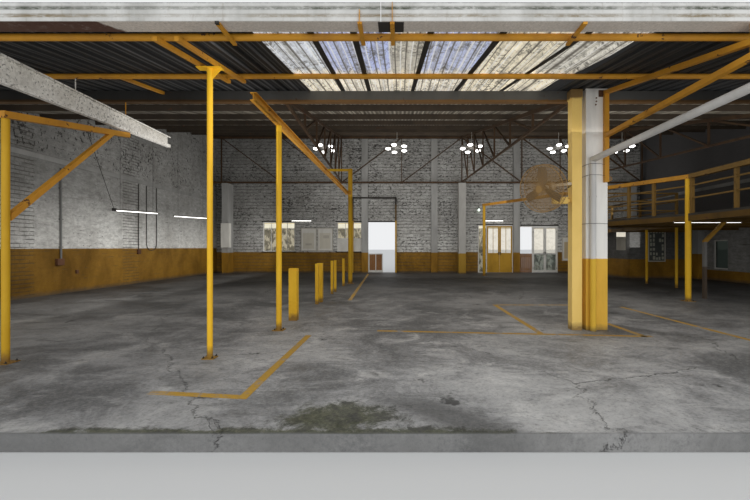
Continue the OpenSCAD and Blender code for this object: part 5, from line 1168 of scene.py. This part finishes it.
def makeFanCage():
    shape = fanShape
    reach, inner = shape["radius"], shape["innerRing"]
    rim = reach + 0.002
    guard = Maker()
    for side in (-1, 1):
        for k in range(shape["rings"]):
            r = inner + (reach - inner) * k / (shape["rings"] - 0.5)
            guard.ring(fanCentre + fanAxis * side * domeHeight(r), fanAxis, r, shape["wire"] * 0.8, 48, 4)
        for k in range(shape["spokes"]):
            t = math.tau * k / shape["spokes"]
            guard.tube([fanSpot(r, t, side * domeHeight(r)) for r in (0.05, 0.14, 0.23, 0.32, reach)],
                       shape["wire"], 5)
        guard.ring(fanCentre + fanAxis * (side * domeHeight(reach)), fanAxis, rim, 0.006, 64, 8)
        if side > 0:
            guard.lathe(shape["cap"], fanCentre + fanAxis * domeHeight(0), fanAxis, 24)
        else:
            guard.ring(fanCentre - fanAxis * domeHeight(0), fanAxis, 0.055, 0.006, 32, 6)
    for k in range(shape["rimWires"]):
        t = math.tau * k / shape["rimWires"]
        h = domeHeight(reach)
        guard.tube([fanSpot(rim, t, -h), fanSpot(rim, t, h)], 0.003, 5)
    guard.piece("fan_cage", "fanWire", "fan", replaces=("fan_guard",), smooth=True)


# Rows of points from root to tip of one blade, each from edge to edge
def bladeRows(base):
    shape = fanShape
    least, more = shape["bladeHalf"]
    steep, ease = shape["pitch"]
    rows = []
    for j in range(9):
        r = shape["root"] + (shape["radius"] - shape["tipGap"] - shape["root"]) * j / 8
        half = least + more * math.sin(math.pi * min(1.0, (j + 1) / 8) * 0.75)
        pitch = math.radians(steep - ease * j / 8)
        row = []
        for u in ((i / 6 - 0.5) * 2 for i in range(7)):
            bend = 0.012 * (1 - u * u)
            row.append((r, base + u * half * math.cos(pitch) / max(r, 0.09),
                        u * half * math.sin(pitch) * 0.8 + bend))
        rows.append(row)
    return rows


def gridEdge(grid):
    return [row[0] for row in grid] + grid[-1][1:] + [row[-1] for row in reversed(grid)][1:]


def makeFanRotor():
    shape = fanShape
    rotor = Maker()
    rotor.lathe(shape["hub"], fanCentre, fanAxis, 24)
    for k in range(shape["blades"]):
        rows = bladeRows(math.tau * k / shape["blades"])
        grids = []
        for lift in (shape["bladeLift"], -shape["bladeLift"]):
            grid = [[rotor.bm.verts.new(fanSpot(r, t, h + lift)) for r, t, h in row] for row in rows]
            for a, b in zip(grid, grid[1:]):
                for i in range(6):
                    rotor.bm.faces.new((a[i], a[i + 1], b[i + 1], b[i]))
            grids.append(grid)
        one, two = (gridEdge(grid) for grid in grids)
        for i in range(len(one)):
            j = (i + 1) % len(one)
            rotor.bm.faces.new((one[i], one[j], two[j], two[i]))
    rotor.piece("fan_blades", "fanEnamel", "fan", body="fan_rotor", replaces=("fan_rotor",), smooth=True)


def makeFanMotor():
    motor = Maker()
    back = fanCentre - fanAxis * (fanShape["depth"] / 2 + 0.004)
    profile = [(0.055, 0.0), (0.07, -0.006)]
    for k in range(fanShape["fins"]):
        h = -0.02 - 0.022 * k
        profile += [(0.07, h), (0.075, h - 0.003), (0.075, h - 0.009), (0.07, h - 0.012)]
    profile += [(0.068, -0.21), (0.06, -0.228), (0.03, -0.238)]
    motor.lathe(profile, back, fanAxis, 28)
    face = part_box("fan_motor")[1].x
    armZ = back.z - fanAxis.z * 0.12 + 0.04
    motor.bar(back - fanAxis * 0.12 + Vector((0.02, 0, 0.02)), (face, back.y - fanAxis.y * 0.12 + 0.02, armZ + 0.02),
              0.05, 0.05, 0.004)
    motor.piece("fan_motor_case", "fanCase", "fan", replaces=("fan_motor",), smooth=True)

    box = Maker()
    box.block(groundPlace(face - 0.32, 3.14, 2.45), groundPlace(face - 0.05, 3.24, 2.57), 0.008)
    box.block(groundPlace(face - 0.325, 3.134, 2.56), groundPlace(face - 0.045, 3.246, 2.573), 0.003)
    box.bar(groundPlace(face - 0.06, 3.19, 2.51), groundPlace(face, 3.19, 2.51), 0.04, 0.06, 0.003)
    box.piece("fan_switch_box", "boxYellow", "fan")

    cables = Maker()
    for k, sag in enumerate(fanShape["cableSags"]):
        start = back - fanAxis * (0.16 + 0.02 * k) + Vector((0, 0, 0.06))
        end = Vector((face - 0.006, frontY + 3.12 + 0.03 * k, 2.78 + 0.05 * k))
        cables.tube([start.lerp(end, u) - Vector((0, 0, sag * 4 * u * (1 - u))) for u in (j / 8 for j in range(9))],
                    0.006, 6)
    cables.piece("fan_cables", "rubber", "fan")


# Doors and gates

# Planes are the front and back of a leaf; boards cover the lower part of a yellow leaf
doorShape = {"planes": (19.853, 19.887), "stile": 0.07, "mid": 1.13, "midRail": (0.05, 0.02), "footRail": 0.14,
             "bead": 0.012, "lap": 0.004, "pane": 0.003, "bar": 0.014, "boards": 5, "gripRise": 0.03,
             "hinges": (0.2, 0.35)}


# A glazed leaf with boards or a second pane below; its frame stands where the node does
def makeLeaf(node, look, slot, boarded):
    shape = doorShape
    low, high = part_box(node)
    x1, x2, z1, z2 = low.x, high.x, low.z, high.z
    y1, y2 = (frontY + d for d in shape["planes"])
    stile, lap, pane = shape["stile"], shape["lap"], shape["pane"]
    left, right, top = x1 + stile, x2 - stile, z2 - stile
    mid, half = z1 + shape["mid"], (y1 + y2) / 2
    below, above = shape["midRail"]
    frameParts, panel, glass, handle = Maker(), Maker(), Maker(), Maker()
    frameParts.frameRing((x1, y1, z1), (x2, y2, z2), stile)
    for bottom, over in ((mid - below, mid + above), (z1 + stile, z1 + shape["footRail"])):
        frameParts.block((left, y1, bottom), (right, y2, over), 0.002)
    if boarded:
        centre = (x1 + x2) / 2
        frameParts.block((centre - shape["bar"], y1 + 0.004, mid + above), (centre + shape["bar"], y2 - 0.004, top),
                         0.002)
    for y in (y1 + 0.006, y2 - 0.012):
        frameParts.frameRing((left, y, mid + above), (right, y + 0.006, top), shape["bead"], 0.001)
    glass.block((left - lap, half - pane, mid + 0.016), (right + lap, half + pane, top + lap), 0.0005)
    if boarded:
        wide = (x2 - x1 - 2 * stile) / shape["boards"]
        for k in range(shape["boards"]):
            panel.block((left + wide * k, y1 + 0.008, z1 + 0.138),
                        (left + wide * (k + 1), y2 - 0.008, mid - 0.048), 0.004)
        panel.piece(node + "_panel", look, slot, body=node)
    else:
        glass.block((left - lap, half - pane, z1 + 0.136), (right + lap, half + pane, mid - 0.046), 0.0005)

    # A plate and a lever on both faces, and two hinge plates
    handed = 1 if node.endswith("left") else -1
    edge = x2 - stile / 2 if handed > 0 else x1 + stile / 2
    grip = mid + shape["gripRise"]
    for side, y in ((-1, y1), (1, y2)):
        near, far = sorted((y, y + side * 0.006))
        handle.block((edge - 0.02, near, mid - 0.08), (edge + 0.02, far, mid + 0.1), 0.002)
        handle.tube([(edge, y, grip), (edge, y + side * 0.035, grip),
                     (edge - handed * 0.1, y + side * 0.038, grip)], 0.008, 8)
    hinge = x1 if handed > 0 else x2
    plate = (0.002, 0.032) if handed > 0 else (-0.032, -0.002)
    for z in (z1 + shape["hinges"][0], z2 - shape["hinges"][1]):
        handle.block((hinge + plate[0], y1 - 0.003, z), (hinge + plate[1], y1 + 0.001, z + 0.09), 0.001)
    frameParts.piece(node + "_frame", look, slot, body=node, replaces=(node,))
    glass.piece(node + "_glass", "doorGlass", "glass", body=node)
    handle.piece(node + "_handle", "darkSheet", slot, body=node)


gateShape = {"stile": 0.055, "middle": 0.025, "footRail": 0.13, "boards": 3, "boardGap": 0.0006,
             "slats": 6, "slatGap": 0.006, "slatThick": 0.018, "railHeight": 0.07, "rails": (0.16, 0.2)}


def makeLowGate():
    node, shape = "low_gate", gateShape
    low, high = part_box(node)
    y1, y2 = (frontY + d for d in doorShape["planes"])
    stile, middle, gap = shape["stile"], shape["middle"], shape["boardGap"]
    left, right, centre = low.x + stile, high.x - stile, (low.x + high.x) / 2
    frameParts, panel = Maker(), Maker()
    frameParts.frameRing((low.x, y1, low.z), (high.x, y2, high.z), stile)
    frameParts.block((centre - middle, y1, low.z + stile), (centre + middle, y2, high.z - stile), 0.002)
    frameParts.block((left, y1, low.z + stile), (right, y2, low.z + shape["footRail"]), 0.002)
    for a, b in ((left, centre - middle), (centre + middle, right)):
        step = (b - a) / shape["boards"]
        for k in range(shape["boards"]):
            panel.block((a + step * k + gap, y1 + 0.01, low.z + 0.128),
                        (a + step * (k + 1) - gap, y2 - 0.01, high.z - 0.053), 0.004)
    frameParts.piece("low_gate_frame", "whitePaint", "door_white", body=node, replaces=(node,))
    panel.piece("low_gate_boards", "slatTimber", "door_white", body=node)


def makeSlattedGate():
    node, shape = "slatted_gate", gateShape
    low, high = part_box(node)
    y1, y2 = (frontY + d for d in doorShape["planes"])
    gap, thick = shape["slatGap"], shape["slatThick"]
    slats, rails = Maker(), Maker()
    pitch = (high.x - low.x) / shape["slats"]
    for k in range(shape["slats"]):
        x = low.x + pitch * (k + 0.5)
        slats.block((x - pitch / 2 + gap, y1, low.z + 0.05), (x + pitch / 2 - gap, y1 + thick, high.z), 0.004)
    for z in (low.z + shape["rails"][0], high.z - shape["rails"][1]):
        rails.block((low.x + 0.002, y1 + thick, z), (high.x - 0.002, y2, z + shape["railHeight"]), 0.003)
    rails.block((low.x + 0.002, y1, low.z), (high.x - 0.002, y1 + 0.02, low.z + 0.05), 0.002)
    slats.piece("slatted_gate_slats", "slatTimber", "slat", body=node, replaces=(node,))
    rails.piece("slatted_gate_rails", "slatTimber", "slat", body=node)


# Fittings of the left wall, as distances back, heights above the floor and how far each stands out

wallFittings = {"pipe": (8.79, 1.13, 4.07), "clips": (1.5, 2.4, 3.4), "conduits": (12.64, 13.17),
                "conduitHeights": (1.39, 4.17), "loopEnd": 13.88, "loopFoot": (1.7, 1.62, 0.25),
                "boxes": ((8.6, 8.86, 0.93, 1.14, 0.10, 0.008), (9.4, 9.5, 0.62, 0.74, 0.05, 0.006),
                          (12.56, 12.74, 1.22, 1.42, 0.08, 0.008))}


def makeWallFittings():
    face = -innerX
    pipes = Maker()
    d, h1, h2 = wallFittings["pipe"]
    pipes.tube([place(face + 0.035, d, h1), place(face + 0.035, d, h2)], 0.03, 12)
    for h in wallFittings["clips"]:
        pipes.block(place(face + 0.001, d - 0.06, h), place(face + 0.07, d + 0.06, h + 0.03), 0.003)
    pipes.piece("wall_pipe", "conduit", "galvanised")

    conduits = Maker()
    x = face + 0.03
    (d1, d2), end = wallFittings["conduits"], wallFittings["loopEnd"]
    foot, top = wallFittings["conduitHeights"]
    straight, middle, sag = wallFittings["loopFoot"]
    conduits.tube([place(x, d1, foot), place(x, d1, top)], 0.018, 8)
    loop = [place(x, d2, top), place(x, d2, straight)]
    for t in (math.pi * k / 6 for k in range(7)):
        loop.append(place(x, (d2 + end) / 2 - (end - d2) / 2 * math.cos(t), middle - sag * math.sin(t)))
    loop += [place(x, end, straight), place(x, end, top)]
    conduits.tube(loop, 0.016, 8)
    conduits.piece("wall_conduits", "conduitDark", "galvanised")

    boxes = Maker()
    for d1, d2, h1, h2, out, bevel in wallFittings["boxes"]:
        boxes.block(place(face + 0.001, d1, h1), place(face + out, d2, h2), bevel)
    boxes.piece("wall_boxes", "rustyBox", "galvanised")


# Wires tied round the concrete column, a plate with bolt heads, and the bulb at the back wall
columnFittings = {"across": (1.668, 1.69, 1.85, 2.072), "back": (2.975, 3.502), "wireHeights": (2.996, 2.797, 1.93),
                  "plate": ((1.9, 3.088, 4.38), (2.062, 3.104, 4.50)),
                  "boltHeads": ((1.86, 4.3), (1.86, 4.36), (1.85, 4.24)), "bulb": (3.01, 19.7, 3.75),
                  "bulbGlass": [(0.012, -0.075), (0.045, -0.06), (0.062, -0.02), (0.055, 0.03), (0.03, 0.06)],
                  "holder": [(0.034, 0.05), (0.04, 0.06), (0.04, 0.12), (0.02, 0.13)]}


def makeColumnFittings():
    shape = columnFittings
    column = Maker()
    (x1, xa, xb, x2), (y1, y2) = shape["across"], (frontY + d for d in shape["back"])
    corners = [(x1, y1 + 0.09), (xa, y1), (xb, y1), (x2, y1 + 0.12), (x2, y2), (x1, y2), (x1, y1 + 0.09)]
    for h in shape["wireHeights"]:
        z = floorZ + h
        for a, b in zip(corners, corners[1:]):
            column.tube([(*a, z), (*b, z)], 0.0035, 5)
    column.piece("column_wires", "rubber", "concrete")
    plate = Maker()
    plate.block(*(groundPlace(*corner) for corner in shape["plate"]), 0.003)
    for x, z in shape["boltHeads"]:
        plate.lathe([(0.014, 0), (0.014, 0.01)], groundPlace(x, 3.105, z), (0, -1, 0), 8)
    plate.piece("column_plate", "rustyBox", "yellow_paint")

    bulb, holder = Maker(), Maker()
    spot = place(*shape["bulb"])
    bulb.lathe(shape["bulbGlass"], spot, (0, 0, 1), 16)
    bulb.piece("wall_bulb", "bulbGlow", "lamp", smooth=True)
    holder.lathe(shape["holder"], spot, (0, 0, 1), 14)
    holder.tube([spot + Vector(step) for step in ((0, 0, 0.12), (0, 0.03, 0.2), (0, 0.15, 0.2))], 0.01, 8)
    holder.piece("wall_bulb_holder", "darkSheet", "lamp")


# Boards as left, right, bottom and top
boardShape = {"papers": ((-7.64, -6.70, 1.44, 2.82), (-6.64, -5.72, 1.44, 2.82)), "tan": (8.02, 8.56, 0.85, 2.28),
              "labels": ((-7.36, 1.78, -6.98, 1.9), (-6.3, 2.2, -5.95, 2.38)), "noticeD": 15.318,
              "notice": (10.37, 11.22, 0.96, 2.64), "noticeBack": (10.41, 11.18, 1.0, 2.6),
              "noteFirst": (10.45, 1.05), "noteApart": (0.145, 0.215), "notes": (5, 7), "noteShare": 0.82,
              "sheet": (8.83, 9.28, 1.52, 2.40), "cabinet": (-11.99, 18.8, 1.65)}


def makeBoards():
    shape = boardShape
    trims, sheets, backs, notes, tans = Maker(), Maker(), Maker(), Maker(), Maker()
    y = frontY + innerD - 0.032
    for (x1, x2, z1, z2), sheet in zip((*shape["papers"], shape["tan"]), (sheets, sheets, tans)):
        trims.frameRing((x1, y - 0.012, z1), (x2, y + 0.001, z2), 0.045)
        sheet.block((x1 + 0.12, y - 0.004, z1 + 0.14), (x2 - 0.14, y + 0.0005, z2 - 0.3), 0.001)
    for x1, z1, x2, z2 in shape["labels"]:
        trims.block((x1, y - 0.006, z1), (x2, y - 0.003, z2), 0.001)
    y = frontY + shape["noticeD"]
    x1, x2, z1, z2 = shape["notice"]
    trims.frameRing((x1, y - 0.016, z1), (x2, y + 0.001, z2), 0.05)
    x1, x2, z1, z2 = shape["noticeBack"]
    backs.block((x1, y - 0.004, z1), (x2, y + 0.0005, z2), 0.001)
    seed = random.Random(11)
    (x1, z1), (acrossStep, upStep), (across, rows) = shape["noteFirst"], shape["noteApart"], shape["notes"]
    for k in range(across):
        for j in range(rows):
            x, z = x1 + acrossStep * k + seed.uniform(0, 0.02), z1 + upStep * j + seed.uniform(0, 0.03)
            if seed.random() < shape["noteShare"]:
                notes.block((x, y - 0.007, z), (x + seed.uniform(0.08, 0.115), y - 0.0035, z + seed.uniform(0.1, 0.17)),
                            0.001)
    x1, x2, z1, z2 = shape["sheet"]
    sheets.block((x1, y - 0.006, z1), (x2, y + 0.0005, z2), 0.002)
    for maker, name, look in ((trims, "board_trims", "boardTrim"), (sheets, "board_sheets", "paperSheet"),
                              (backs, "notice_back", "boardBack"), (notes, "notice_sheets", "noteSheet"),
                              (tans, "tan_sheet", "tanSheet")):
        maker.piece(name, look, "board")


def makeCabinet():
    x1, d, z1 = boardShape["cabinet"]
    y = frontY + d
    cabinet = Maker()
    for k in range(2):
        x = x1 + 0.02 + 0.235 * k
        cabinet.block((x, y - 0.012, z1 + 0.03), (x + 0.225, y - 0.001, z1 + 1.37), 0.004)
    cabinet.block((x1 + 0.22, y - 0.03, z1 + 0.62), (x1 + 0.235, y - 0.012, z1 + 0.76), 0.003)
    for z in (0.12, 1.1):
        for k in range(5):
            cabinet.block((x1 + 0.06, y - 0.016, z1 + z + 0.02 * k),
                          (x1 + 0.2, y - 0.011, z1 + z + 0.008 + 0.02 * k), 0.001)
    cabinet.piece("cabinet_doors", "whitePaint", "board")


# Lights as left, right, bottom, top and how many bars; sills and heads as left, right and height
windowShape = {"planes": (19.915, 19.965), "lights": ((-9.92, -8.0, 1.41, 3.18, 3), (-5.48, -3.99, 2.21, 3.18, 2)),
               "bar": 0.014, "crossBar": (0.42, 0.39), "sills": ((-10.0, -7.92, 1.41), (-5.56, -3.92, 1.41)),
               "sillHead": (3.18, 3.25), "heads": ((-3.66, -1.95, 3.18), (2.9, 5.15, 3.0), (5.4, 7.82, 2.94))}


def makeWindows():
    shape = windowShape
    bars, sills = Maker(), Maker()
    y1, y2 = (frontY + d for d in shape["planes"])
    lower, upper = shape["crossBar"]
    for x1, x2, z1, z2, count in shape["lights"]:
        for k in range(1, count + 1):
            x = x1 + (x2 - x1) * k / (count + 1)
            bars.block((x - shape["bar"], y1 + 0.012, z1 + 0.04), (x + shape["bar"], y2 - 0.012, z2 - 0.04), 0.002)
        bars.block((x1 + 0.04, y1 + 0.012, z2 - lower), (x2 - 0.04, y2 - 0.012, z2 - upper), 0.002)
    bars.piece("window_bars", "whitePaint", "window_paint")
    face = frontY + innerD
    under, over = shape["sillHead"]
    for x1, x2, z in shape["sills"]:
        sills.block((x1, face - 0.06, z - 0.05), (x2, face - 0.001, z), 0.006)
        sills.block((x1, face - 0.018, under), (x2, face - 0.001, over), 0.004)
    for x1, x2, z in shape["heads"]:
        sills.block((x1, face - 0.018, z), (x2, face - 0.001, z + 0.06), 0.004)
    sills.piece("opening_trims", "darkSheet", "window_paint")


makeGutter()
makeRoofDetail()
makeSteelDetail()
makeFloorLines()
makeLamps()
makeTubes()
makeFanCage()
makeFanRotor()
makeFanMotor()
for side in ("left", "right"):
    makeLeaf("yellow_door_" + side, "doorYellow", "door_yellow", True)
for side in ("left", "right"):
    makeLeaf("glass_door_" + side, "whitePaint", "door_white", False)
makeLowGate()
makeSlattedGate()
makeWallFittings()
makeColumnFittings()
makeBoards()
makeCabinet()
makeWindows()
print("pieces made")


# Stage and light

stage = {"floorColour": (0.58, 0.58, 0.57), "backdrop": (0.86, 0.87, 0.88), "skyStrength": 1.0,
         "sky": (0.93, 0.96, 1.0), "size": 300.0}


def makeStage():
    bm = bmesh.new()
    bmesh.ops.create_grid(bm, x_segments=1, y_segments=1, size=stage["size"])
    mesh = bpy.data.meshes.new("stageFloor")
    bm.to_mesh(mesh)
    bm.free()
    floor = bpy.data.objects.new("stageFloor", mesh)
    floor.location.z = cadLow.z - 0.002
    bpy.context.scene.collection.objects.link(floor)
    material, _, shader, _ = newMaterial("stageFloor")
    shader.inputs["Base Color"].default_value = (*stage["floorColour"], 1)
    shader.inputs["Roughness"].default_value = 0.9
    mesh.materials.append(material)

    world = bpy.data.worlds.new("world")
    bpy.context.scene.world = world
    world.use_nodes = True
    tree = world.node_tree
    tree.nodes.clear()
    s = Shade(tree)
    path = s.add("ShaderNodeLightPath")
    seen = s.either(path.outputs["Is Camera Ray"],
                    s.either(path.outputs["Is Glossy Ray"], path.outputs["Is Transmission Ray"]))
    sky = s.add("ShaderNodeBackground", {"Color": (*stage["sky"], 1), "Strength": stage["skyStrength"]})
    shown = s.add("ShaderNodeBackground", {"Color": (*stage["backdrop"], 1), "Strength": 1.0})
    mixed = s.add("ShaderNodeMixShader", {0: seen, 1: sky.outputs[0], 2: shown.outputs[0]})
    s.add("ShaderNodeOutputWorld", {0: mixed.outputs[0]})


# Each gives its middle, its turn in degrees, its size and the level that it sheds
lights = {
    "frontWash": {"at": (2.5, -5.4, 2.2), "turn": (90, 0, 6), "size": (22.0, 4.0), "level": 1.15},
    "canopyWash": {"at": (-3.9, 2.7, 3.3), "turn": (0, 90, 0), "size": (1.3, 4.4), "level": 0.8},
    "hallFill": {"at": (-1.5, 7.0, 4.1), "turn": (0, 0, 0), "size": (19.0, 7.0), "level": 0.75},
    "leftWash": {"at": (-9.0, 11.5, 2.0), "turn": (0, 90, 0), "size": (2.6, 16.0), "level": 1.55},
    "backWash": {"at": (1.5, 15.2, 3.6), "turn": (94, 0, 0), "size": (17.0, 4.2), "level": 1.2},
    "rightWash": {"at": (9.0, 9.0, 1.4), "turn": (0, -90, 0), "size": (2.0, 12.0), "level": 0.2},
    "roofWash": {"at": (-1.0, 10.0, 3.6), "turn": (180, 0, 0), "size": (20.0, 14.0), "level": 0.5},
}
lightColour = (1.0, 0.985, 0.96)


def softLight(name, at, turn, size, level):
    light = bpy.data.lights.new(name, "AREA")
    light.shape = "RECTANGLE"
    light.size, light.size_y = size
    light.energy = level * math.pi * size[0] * size[1]
    light.color = lightColour
    lamp = bpy.data.objects.new(name, light)
    lamp.location = place(*at)
    lamp.rotation_euler = [math.radians(v) for v in turn]
    lamp.visible_camera = lamp.visible_glossy = lamp.visible_transmission = False
    bpy.context.scene.collection.objects.link(lamp)


makeStage()
for name, light in lights.items():
    softLight(name, **light)
print("stage and light made")
